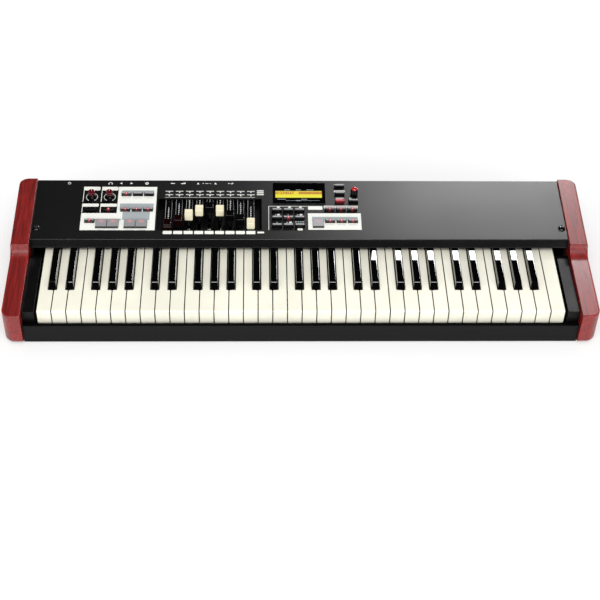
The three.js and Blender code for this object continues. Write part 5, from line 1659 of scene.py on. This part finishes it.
class ORGAN_OT_display(OrganOperator, bpy.types.Operator):
    """The dark window with its lit character display."""
    bl_idname = "organ.display"
    bl_label = "Display"

    def execute(self, context):
        low, high = deck_box("display_window")
        lit_low, lit_high = screen_box()
        room = 0.3 * MM
        hole = (lit_low[0] + room, lit_high[0] - 1.7 * MM, lit_low[1] + room, lit_high[1] - 2.4 * MM)
        up = lines(low[1], high[1], hole[2:], 6 * MM)
        path = np.stack([up, np.full(len(up), high[2])], -1)
        points, faces, _ = sheet(path, lines(low[0], high[0], hole[:2], 8 * MM), [hole])
        piece = lay("Display_Window", (points, faces), "window", replaces=["display_window"], closed=False)
        thicken(piece, context.scene.organ_controls.window)
        bevel = piece.modifiers.new("Edge", "BEVEL")
        bevel.width = 0.3 * MM
        bevel.segments = 2
        piece.modifiers.move(len(piece.modifiers) - 1, 1)
        level = high[2] - 0.5 * MM
        face = pad(*hole, 0.05 * MM, level, 0.1 * MM, 0.05 * MM)
        lay("Display_Screen", face, "display", uv=within(face, *hole))
        self.characters(hole, level)
        self.legends(hole, high[2])
        return {"FINISHED"}

    def characters(self, hole, level):
        """Numerals and blocks in the cells of the upper line."""
        left, right, front, rear = hole
        cells = "01234567  8888888888"
        wide = (right - left) / len(cells)
        v = front + (rear - front) * 0.72
        high = level + bpy.context.scene.organ_controls.print_rise
        parts = [numeral(character, left + (k + 0.5) * wide, v, 6.0 * MM, level, high)
                 for k, character in enumerate(cells) if character != " "]
        lay("Display_Characters", gather(parts), "display_mark")

    def legends(self, hole, level):
        """Small printed rules over and under the display.

        Each starts and ends at a share of its width, and reaches between two distances in mm from its edge.
        """
        left, right, front, rear = hole
        wide = right - left
        rules = (
            (rear, 0.19, 0.31, 1.6, 2.6), (rear, 0.44, 0.55, 1.6, 2.6), (rear, 0.67, 0.82, 1.6, 2.6),
            (front, 0.04, 0.22, -4.2, -3.2), (front, 0.55, 0.68, -4.2, -3.2),
            (front, 0.22, 0.95, -7.2, -6.8), (front, 0.44, 0.54, -7.8, -6.2),
        )
        parts = [ink_bar(left + start * wide, left + end * wide, edge + near * MM, edge + far * MM, level)
                 for edge, start, end, near, far in rules]
        lay("Display_Legends", gather(parts), "print_grey")


REAR_MARKS = 131 * MM


class ORGAN_OT_panel_marks(OrganOperator, bpy.types.Operator):
    """Printed marks on the deck: signs along its rear edge, the drawbars' scale and tabs, frame lines."""
    bl_idname = "organ.panel_marks"
    bl_label = "Panel marks"

    def execute(self, context):
        self.ink = context.scene.organ_controls.print_rise
        for name, marks, ink in (
            ("Rear_Edge_Marks", self.rear_marks, "print"),
            ("Drawbar_Tabs", self.drawbar_tabs, "print"),
            ("Drawbar_Scale", self.drawbar_scale, "print_pale"),
            ("Frame_Lines", self.frame_lines, "print"),
            ("Button_Labels", self.button_labels, "print"),
            ("Button_Bands", self.button_bands, "print_pale"),
            ("Button_Signs", self.button_signs, "print_grey"),
        ):
            lay(name, gather(marks()), ink)
        return {"FINISHED"}

    def bar(self, x, v, half, front, rear, corner=0.3):
        """A bar half wide to each side of x, from front to rear of v, all in mm from that place."""
        return ink_bar(x - half * MM, x + half * MM, v + front * MM, v + rear * MM, corner=corner * MM)

    def ring(self, x, v, inner, outer, end=2 * math.pi, sides=24):
        return ring_mark(x, v, inner * MM, outer * MM, 0, self.ink, 0, end, sides)

    def dot(self, x, v, radius):
        return disc(x, v, radius * MM, 0, self.ink, 12)

    def mark(self, x, v, outline):
        """A mark with any outline, its points in mm from the place x, v."""
        return outline_mark(np.array([x, v]) + np.array(outline) * MM, 0, self.ink)

    def rear_marks(self):
        """A plain sign for each socket: power, headphones, arrows, round socket, switch, pedal, computer."""
        v = REAR_MARKS
        x = opening("power")[0] + 9 * MM
        yield self.ring(x, v, 2.0, 2.7)
        yield self.bar(x, v, 0.35, -0.4, 1.8)
        x = opening("phones")[0]
        yield self.ring(x, v - 0.4 * MM, 2.3, 3.1, math.pi, 12)
        for side in (-1, 1):
            yield self.bar(x + side * 2.7 * MM, v, 0.9, -2.6, -0.2, 0.5)
        yield self.mark(opening("line_out_left")[0], v, [(2, 2.2), (-2.4, 0), (2, -2.2)])
        yield self.mark(opening("line_out_right")[0], v, [(-2, -2.2), (2.4, 0), (-2, 2.2)])
        x = opening("rotary_speaker")[0]
        yield self.ring(x, v, 1.5, 2.9)
        yield self.dot(x, v, 0.7)
        yield self.bar(opening("foot_switch")[0], v, 3.4, -0.8, 0.9)
        pedal = [(-4.2, -1.2), (3.6, -1.2), (3.9, 1.6), (2.6, 1.8), (-4.2, 0.1)]
        yield self.mark(opening("pedal")[0], v, pedal)
        out_x, in_x = opening("midi_out")[0], opening("midi_in")[0]
        for x in (out_x, in_x):
            yield self.mark(x, v, [(-2.2, -1.9), (2.2, -1.9), (0, 2.3)])
        for step, half in ((-6.2, 1.4), (0, 2.8), (6.2, 1.4)):
            yield self.bar((out_x + in_x) / 2 + step * MM, v, half, -0.5, 0.5)
        x = opening("usb")[0]
        yield self.bar(x, v, 4, -0.4, 0.3)
        yield self.dot(x - 4.2 * MM, v, 1.1)
        yield self.dot(x + 1.6 * MM, v + 1.4 * MM, 0.8)
        yield self.bar(x + 1.1 * MM, v, 0.9, -1.8, -1.0)

    def drawbar_places(self):
        return [middle_of(f"drawbar_{i}")[0] for i in range(1, 10)]

    def drawbar_tabs(self):
        low, high = deck_box("drawbar_tray")
        front = low[1] + 2 * MM
        for x in self.drawbar_places():
            yield self.bar(x + 0.1 * MM, front, 7.5, -8.8, -1.6, 1.2)
        yield self.bar(high[0] - 3.75 * MM, front, 5.75, -7, -3, 1.6)

    def drawbar_scale(self):
        """Over each drawbar rules joined by tapering marks, a base line, and a stack of three rules."""
        high = deck_box("drawbar_tray")[1]
        rear = high[1]
        places = self.drawbar_places()
        for x in places:
            for v in (rear + 6.7 * MM, rear + 14.8 * MM):
                yield self.bar(x - 3.7 * MM, v, 2.7, 0, 1.7)
                yield self.bar(x + 3.7 * MM, v, 2.7, 0, 1.7)
                yield self.mark(x, v, [(-2.4, 1.5), (0, -4.2), (2.4, 1.5)])
        yield ink_bar(places[0] - 7 * MM, places[-1] + 7 * MM, rear + 0.6 * MM, rear + 1.3 * MM)
        for v in (6.6, 11.0, 15.4):
            yield self.bar(high[0] - 4.2 * MM, rear, 5.8, v, v + 3.0, 0.6)

    def frame_lines(self):
        """An angle round the number grid, and the white corner where the right plate begins."""
        grid, window, plate = [deck_box(node)[0] for node in (
            "buttons_number_grid", "display_window", "control_plate_right")]
        line = 0.9 * MM
        left, top = grid[0] - 4.6 * MM, window[1] - 3.4 * MM
        yield ink_bar(left, left + line, grid[1] - 3 * MM, top)
        yield ink_bar(left, plate[0], top - line, top)
        yield ink_bar(plate[0] + 0.6 * MM, plate[0] + 25 * MM, top - 8.6 * MM, top, corner=1.0 * MM)

    def over(self, cap, share_x, half, front, rear, corner):
        """A bar behind a button, share_x of the way from its left to its right."""
        return self.bar(cap.left + (cap.right - cap.left) * share_x, cap.rear, half, front, rear, corner)

    def button_labels(self):
        """White labels behind the number grid's buttons, in front of one, and behind the menu buttons."""
        grid = caps_of("buttons_number_grid")
        for i, share_x in {8: 0.60, 7: 0.64, 6: 0.64, 5: 0.64, 3: 0.66, 1: 0.70}.items():
            yield self.over(grid[i], share_x, 2.5, 4.6, 8.2, 1.5)
        yield beside(grid[2], grid[2].front, 4, 3.6, -5.6, -1.0, corner=1.6)
        for cap in caps_of("buttons_menu_column"):
            yield beside(cap, cap.rear, -1, -1, 2.0, 6.6 if cap.row == 0 else 3.2, corner=0.6)

    def button_bands(self):
        """Pale bands behind the preset row, the record button and the play button."""
        caps = caps_of("buttons_preset_row")
        rear = caps[0].rear
        yield ink_bar(caps[0].left - 1.5 * MM, caps[-1].right + 1.5 * MM, rear + 0.8 * MM, rear + 7.2 * MM)
        for node in ("button_record", "button_play"):
            cap = caps_of(node)[0]
            yield beside(cap, cap.rear, 1.5, 1.5, 4.9, 7.1)

    def button_signs(self):
        """Dim signs beside the labels of the number grid, and four dashes over its front right button."""
        grid = caps_of("buttons_number_grid")
        signs = ((3, 0.36, 1.1), (5, 0.30, 1.5), (4, 0.49, 1.0), (0, 0.49, 1.0), (1, 0.36, 1.4))
        for i, share_x, half in signs:
            yield self.over(grid[i], share_x, half, 5.0, 7.4, 0.8)
        for share_x in (0.1, 0.36, 0.6, 0.84):
            yield self.over(grid[2], share_x, 1.5, 6.2, 9.0, 0.9)


# Rear and fasteners

def facing_back(shape, y):
    """A shape whose h is its height over a face, on the rear panel: (x, v, h) becomes (-x, y + h, v)."""
    points, faces = shape
    return np.stack([-points[:, 0], y + points[:, 2], points[:, 1]], -1), faces


def facing_down(shape, z):
    points, faces = shape
    return np.stack([points[:, 0], -points[:, 1], z - points[:, 2]], -1), faces


def screw_head(x, v, radius, rise):
    """A domed head with a cross recess: rings that fall from the crown to the rim, less four sunk arms."""
    t = np.linspace(0, 2 * math.pi, 32, endpoint=False)
    reach = np.array([1, 1, 0.94, 0.8, 0.6, 0.5, 0.42, 0.2, 0.02])
    height = rise * np.array([0, 0.25, 0.5, 0.78, 0.95, 0.99, 1, 1, 1])
    arm = np.clip(np.abs(np.cos(2 * t)) - 0.75, 0, 1) / 0.25
    slot = (reach[:, None] < 0.55) * np.clip(arm[None] + (reach[:, None] < 0.25), 0, 1)
    h = height[:, None] - 0.55 * rise * slot
    ring = np.stack([x + radius * reach[:, None] * np.cos(t), v + radius * reach[:, None] * np.sin(t), h], -1)
    return skin(ring)


def hex_nut(x, v, across, bore, high):
    """A six-sided nut with a round bore: its radius follows 1 / cos of the angle from a flat's middle."""
    sides, sixth = 48, math.pi / 3
    t = np.linspace(0, 2 * math.pi, sides, endpoint=False)
    flat = across / 2 / np.cos((t + sixth / 2) % sixth - sixth / 2)
    crown, step = np.minimum(flat, across / 2 * 1.05), 0.3 * MM
    return turned(x, v, [
        (flat * 0.96, 0), (flat, 0.25 * MM), (flat, high - 0.4 * MM), (crown, high), (bore + step, high),
        (bore, high - step), (bore, 0),
    ], sides)


def collar(x, v, inner, outer, low, high, sides=40):
    """A ring with rounded outer edges."""
    e = (high - low) / 4
    foot = [(inner, low), (outer, low)]
    rim = [(outer, high - e), (outer - e, high), (inner + e, high), (inner, high - e)]
    return turned(x, v, foot + rim, sides)


class ORGAN_OT_sockets(OrganOperator, bpy.types.Operator):
    """Nuts, washers, sleeves, contacts and the rocker on the rear panel."""
    bl_idname = "organ.sockets"
    bl_label = "Rear sockets"

    def execute(self, context):
        self.rear = box("rear_panel")[1][1]
        for name in ("phones", "line_out_left", "line_out_right", "foot_switch", "pedal"):
            self.jack(name)
        for name, pins in (("rotary_speaker", 8), ("midi_out", 5), ("midi_in", 5)):
            self.round_socket(name, pins)
        self.square_socket()
        self.supply_socket()
        use("power_rocker", "gloss")
        return {"FINISHED"}

    def stand(self, name, shape, finish_name, sunk=0.0):
        """A piece on the rear panel, its foot sunk below the panel's face."""
        make(name, facing_back(shape, self.rear - sunk), finish_name)

    def jack(self, name):
        x, z = opening(name)
        title, washer = name.title(), 0.4 * MM
        self.stand(f"{title}_Washer", collar(-x, z, 5.4 * MM, 8.2 * MM, 0, washer), "steel")
        self.stand(f"{title}_Nut", hex_nut(-x, z, 12.6 * MM, 5.35 * MM, 1.4 * MM), "steel", -washer)
        self.stand(f"{title}_Sleeve", collar(-x, z, 3.3 * MM, 4.9 * MM, 0.75 * MM, 1.9 * MM), "steel")

    def round_socket(self, name, pins):
        """A sleeve, an insert, and a contact for each pin on an arc."""
        x, z = opening(name)
        title = name.title()
        self.stand(f"{title}_Sleeve", collar(-x, z, 6.6 * MM, 8.0 * MM, 0.05 * MM, 0.9 * MM), "steel")
        insert = lathe([(6.3 * MM, 0), (6.3 * MM, 1 * MM), (6.0 * MM, 1.2 * MM)], (-x, z), 32)
        self.stand(f"{title}_Insert", insert, "plastic", 7 * MM)
        sweep = math.radians(180 if pins == 5 else 270)
        reach = 4 * MM
        holes = []
        for t in QUARTER * 3 - sweep / 2 + sweep * np.arange(pins) / (pins - 1):
            place = -x + reach * math.cos(t), z + reach * math.sin(t)
            holes.append(collar(*place, 0.6 * MM, 1.0 * MM, 0, 0.5 * MM, 14))
        self.stand(f"{title}_Contacts", gather(holes), "steel", 5.8 * MM)

    def square_socket(self):
        x, z = opening("usb")
        low, high = 4.1 * MM, 5.2 * MM
        rings = []
        for reach, h in ((low, 0), (high, 0), (high, 0.6 * MM), (high - 0.2 * MM, 0.8 * MM), (low, 0.8 * MM)):
            ring = round_rings(-x - reach, -x + reach, z - reach, z + reach, 0.6 * MM)[0]
            rings.append(np.concatenate([ring, np.full((len(ring), 1), h)], 1))
        self.stand("Usb_Sleeve", tube(np.stack(rings)), "steel")
        tongue = pad(-x - 2.6 * MM, -x + 2.6 * MM, z - 1.4 * MM, z + 1.4 * MM, 0, 6 * MM, 0.3 * MM, 0.3 * MM)
        self.stand("Usb_Tongue", tongue, "plastic", 7.5 * MM)

    def supply_socket(self):
        x, z = opening("power")
        self.stand("Supply_Collar", collar(-x, z, 4.1 * MM, 6.4 * MM, 0.75 * MM, 1.3 * MM), "plastic")
        pin = lathe([(1.0 * MM, 0), (1.0 * MM, 9.2 * MM), (0.6 * MM, 9.8 * MM)], (-x, z), 16)
        self.stand("Supply_Pin", pin, "steel", 11 * MM)


class ORGAN_OT_fasteners(OrganOperator, bpy.types.Operator):
    """Screws in the deck, along the rear panel and under the floor."""
    bl_idname = "organ.fasteners"
    bl_label = "Screws"

    def execute(self, context):
        radius, rise, sharp = 2.8 * MM, 1.3 * MM, 30
        high = deck_box("top_panel")[1]
        for side, name in ((-1, "Left"), (1, "Right")):
            head = screw_head(side * (high[0] - 7.8 * MM), 25.5 * MM, 6.1 * MM, 2.8 * MM)
            lay(f"Deck_Screw_{name}", head, "sharp", slot="black_metal", sharp=sharp)
        high = box("rear_panel")[1]
        shares = (-0.96, -0.62, -0.2, 0.2, 0.6, 0.96)
        heads = [screw_head(-share_x * high[0], high[2] - 6 * MM, radius, rise) for share_x in shares]
        make("Rear_Screws", facing_back(gather(heads), high[1]), "dark_steel", sharp=sharp)
        low, high = box("bottom_case")
        heads = [screw_head(share_x * high[0], -y, radius, rise) for share_x in (-0.9, -0.3, 0.3, 0.9)
                 for y in (low[1] + 30 * MM, 0.0, high[1] - 26 * MM)]
        make("Floor_Screws", facing_down(gather(heads), low[2]), "dark_steel", sharp=sharp)
        return {"FINISHED"}


# Stage

class ORGAN_OT_stage(OrganOperator, bpy.types.Operator):
    """Pale floor, white sky, soft lamps and the camera."""
    bl_idname = "organ.stage"
    bl_label = "Stage"

    def execute(self, context):
        s = context.scene.organ_stage
        self.camera(context, s)
        self.floor(s)
        self.sky(context, s)
        self.flag(s)
        rear = self.lamp("Rear_Box", (1.13, 3.0, 2.80), (1.13, 0, 2.80), (1.34, 0.34), s.rear_power)
        rear.visible_diffuse = False
        deck, keys = (0, -0.05, 0.05), (0, -0.1, 0.05)
        self.lamp("Top_Box", (-0.35, -0.55, 2.6), deck, (1.8, 1.2), s.top_power)
        self.lamp("Middle_Box", (0, -1.8, 2.75), deck, (1.6, 0.8), s.middle_power)
        self.lamp("Front_Box_Left", (-1.7, -2.2, 1.0), keys, (1.0, 1.0), s.front_power)
        self.lamp("Front_Box_Right", (1.7, -2.2, 1.0), keys, (1.0, 1.0), s.front_power)
        context.scene.view_settings.view_transform = "Standard"
        return {"FINISHED"}

    def camera(self, context, s):
        """Forward is the level heading turned down by the pitch, and right and up are rolled about it."""
        level = Vector((-math.sin(s.yaw), math.cos(s.yaw), 0))
        side = Vector((math.cos(s.yaw), math.sin(s.yaw), 0))
        forward = math.cos(s.pitch) * level - math.sin(s.pitch) * Vector((0, 0, 1))
        up = math.sin(s.pitch) * level + math.cos(s.pitch) * Vector((0, 0, 1))
        right = math.cos(s.roll) * side + math.sin(s.roll) * up
        above = math.cos(s.roll) * up - math.sin(s.roll) * side
        data = bpy.data.cameras.new("Camera")
        data.lens = s.lens
        data.sensor_width = 36
        data.clip_start = 0.05
        data.clip_end = 100
        camera = bpy.data.objects.new("Camera", data)
        context.scene.collection.objects.link(camera)
        turned = Matrix((right, above, -forward)).transposed().to_4x4()
        camera.matrix_world = Matrix.Translation((s.camera_x, s.camera_y, s.camera_z)) @ turned
        context.scene.camera = camera

    def floor(self, s):
        """A pale floor that shows as white to the camera, less the object's shadow and a painted shadow close
        round it.
        """
        f = Finish("pale_floor", roughness=0.9, specular_ior_level=0.0)
        clouds = f.noise(3, 2)
        f.set(base_color=f.mix(clouds, (0.86, 0.86, 0.86, 1), (0.9, 0.9, 0.9, 1)))
        seen = f.node("LightPath", {}, {}, out="Is Camera Ray")
        glow = f.node("Emission", {}, {"Color": (1, 1, 1, 1), "Strength": 1.15})
        x, y, _ = f.axes(f.place)
        # Painted shadow: close to the object the floor gets less of its white glow, so it shows darker there.
        far = (x * x * 0.25 + (y + 0.05) * (y + 0.05)).ease(0.02, 0.3)
        own = Value(f, f.shader.outputs[0])
        blend = f.node("MixShader", {}, {0: seen * (0.35 + 0.6 * far), 1: own, 2: glow})
        f.tree.links.new(blend.socket, f.tree.nodes["Material Output"].inputs["Surface"])
        r = s.floor
        mesh = bpy.data.meshes.new("Floor")
        mesh.from_pydata([(-r, -r, 0), (r, -r, 0), (r, r, 0), (-r, r, 0)], [], [(0, 1, 2, 3)])
        mesh.materials.append(f.material)
        floor = bpy.data.objects.new("Floor", mesh)
        bpy.context.scene.collection.objects.link(floor)
        floor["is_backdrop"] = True

    def sky(self, context, s):
        """White where it is seen, mirrored or looked at through glass, and softer where it only lights."""
        world = bpy.data.worlds.new("Sky")
        context.scene.world = world
        world.use_nodes = True
        tree = world.node_tree
        back = tree.nodes["Background"]
        back.inputs["Color"].default_value = (1, 1, 1, 1)
        path = tree.nodes.new("ShaderNodeLightPath")
        seen = tree.nodes.new("ShaderNodeMath")
        seen.operation = "MAXIMUM"
        tree.links.new(path.outputs["Is Camera Ray"], seen.inputs[0])
        glass = tree.nodes.new("ShaderNodeMath")
        glass.operation = "MAXIMUM"
        tree.links.new(path.outputs["Is Glossy Ray"], glass.inputs[0])
        tree.links.new(path.outputs["Is Transmission Ray"], glass.inputs[1])
        tree.links.new(glass.outputs[0], seen.inputs[1])
        level = tree.nodes.new("ShaderNodeMapRange")
        level.inputs["To Min"].default_value = s.world
        level.inputs["To Max"].default_value = 1.0
        tree.links.new(seen.outputs[0], level.inputs["Value"])
        tree.links.new(level.outputs[0], back.inputs["Strength"])

    def flag(self, s):
        """A black dome over the set that only mirrors see: a sphere's cap from the flag's edge to the zenith.

        The edge is higher behind, right, so that the strip of light there shows.
        """
        rows, around, radius = 10, 288, 4.5
        turn = np.linspace(0, 2 * math.pi, around, endpoint=False)
        right = np.clip((math.radians(84.5) - turn) / math.radians(2.5), 0, 1) * (turn > math.radians(50))
        left = (turn > math.radians(80)) & (turn < math.radians(150))
        edge = np.where(left, s.flag_left_edge, s.flag_edge)
        straight = np.arctan(math.tan(s.flag_rear_edge) * np.abs(np.sin(turn)))
        edge = edge + (straight - edge) * right
        t = edge + np.linspace(0, 1, rows)[:, None] * (QUARTER - 0.01 - edge)
        rings = radius * np.stack([np.cos(t) * np.cos(turn), np.cos(t) * np.sin(turn), np.sin(t)], -1)
        index = np.arange(rows * around).reshape(rows, around)
        quads = np.stack([index[:-1], np.roll(index[:-1], -1, 1), np.roll(index[1:], -1, 1), index[1:]], -1)
        mesh = bpy.data.meshes.new("Flag")
        mesh.from_pydata(rings.reshape(-1, 3), [], quads.reshape(-1, 4).tolist() + [index[-1].tolist()])
        f = Finish("black_flag", roughness=1.0, specular_ior_level=0.0, base_color=BLACK)
        mesh.materials.append(f.material)
        flag = bpy.data.objects.new("Flag", mesh)
        bpy.context.scene.collection.objects.link(flag)
        flag.visible_camera = flag.visible_diffuse = flag.visible_shadow = flag.visible_transmission = False
        flag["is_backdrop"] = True

    def lamp(self, name, place, target, size, power):
        data = bpy.data.lights.new(name, "AREA")
        data.shape = "RECTANGLE"
        data.size, data.size_y = size
        data.energy = power
        lamp = bpy.data.objects.new(name, data)
        lamp.location = place
        lamp.rotation_euler = (Vector(target) - Vector(place)).to_track_quat("-Z", "Y").to_euler()
        bpy.context.scene.collection.objects.link(lamp)
        return lamp


OPERATORS = (
    ORGAN_OT_stage, ORGAN_OT_white_keys, ORGAN_OT_black_keys, ORGAN_OT_cheeks, ORGAN_OT_top_panel,
    ORGAN_OT_case, ORGAN_OT_inside, ORGAN_OT_control_plates, ORGAN_OT_buttons, ORGAN_OT_knobs,
    ORGAN_OT_drawbars, ORGAN_OT_display, ORGAN_OT_panel_marks, ORGAN_OT_sockets, ORGAN_OT_fasteners,
)


class ORGAN_PT_panel(bpy.types.Panel):
    """Lists the pieces of the organ and the sizes that they follow"""
    bl_idname = "ORGAN_PT_panel"
    bl_label = "Drawbar organ"
    bl_space_type = "VIEW_3D"
    bl_region_type = "UI"
    bl_category = "Organ"

    def draw(self, context):
        for operator in OPERATORS:
            self.layout.operator(operator.bl_idname)
        for name, group in GROUPS.items():
            column = self.layout.column()
            for field in group.__annotations__:
                column.prop(getattr(context.scene, name), field)


def register():
    for kind in (*GROUPS.values(), *OPERATORS, ORGAN_PT_panel):
        bpy.utils.register_class(kind)
    for name, group in GROUPS.items():
        setattr(bpy.types.Scene, name, bpy.props.PointerProperty(type=group))


def unregister():
    for name in GROUPS:
        delattr(bpy.types.Scene, name)
    for kind in (ORGAN_PT_panel, *OPERATORS, *GROUPS.values()):
        bpy.utils.unregister_class(kind)


def main():
    register()
    for operator in OPERATORS:
        getattr(bpy.ops.organ, operator.bl_idname.split(".")[1])()
    corners = {"cad": CAD_BOX, "visual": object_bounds()}
    {name: [list(corner) for corner in pair] for name, pair in corners.items()}


if __name__ == "__main__":
    main()
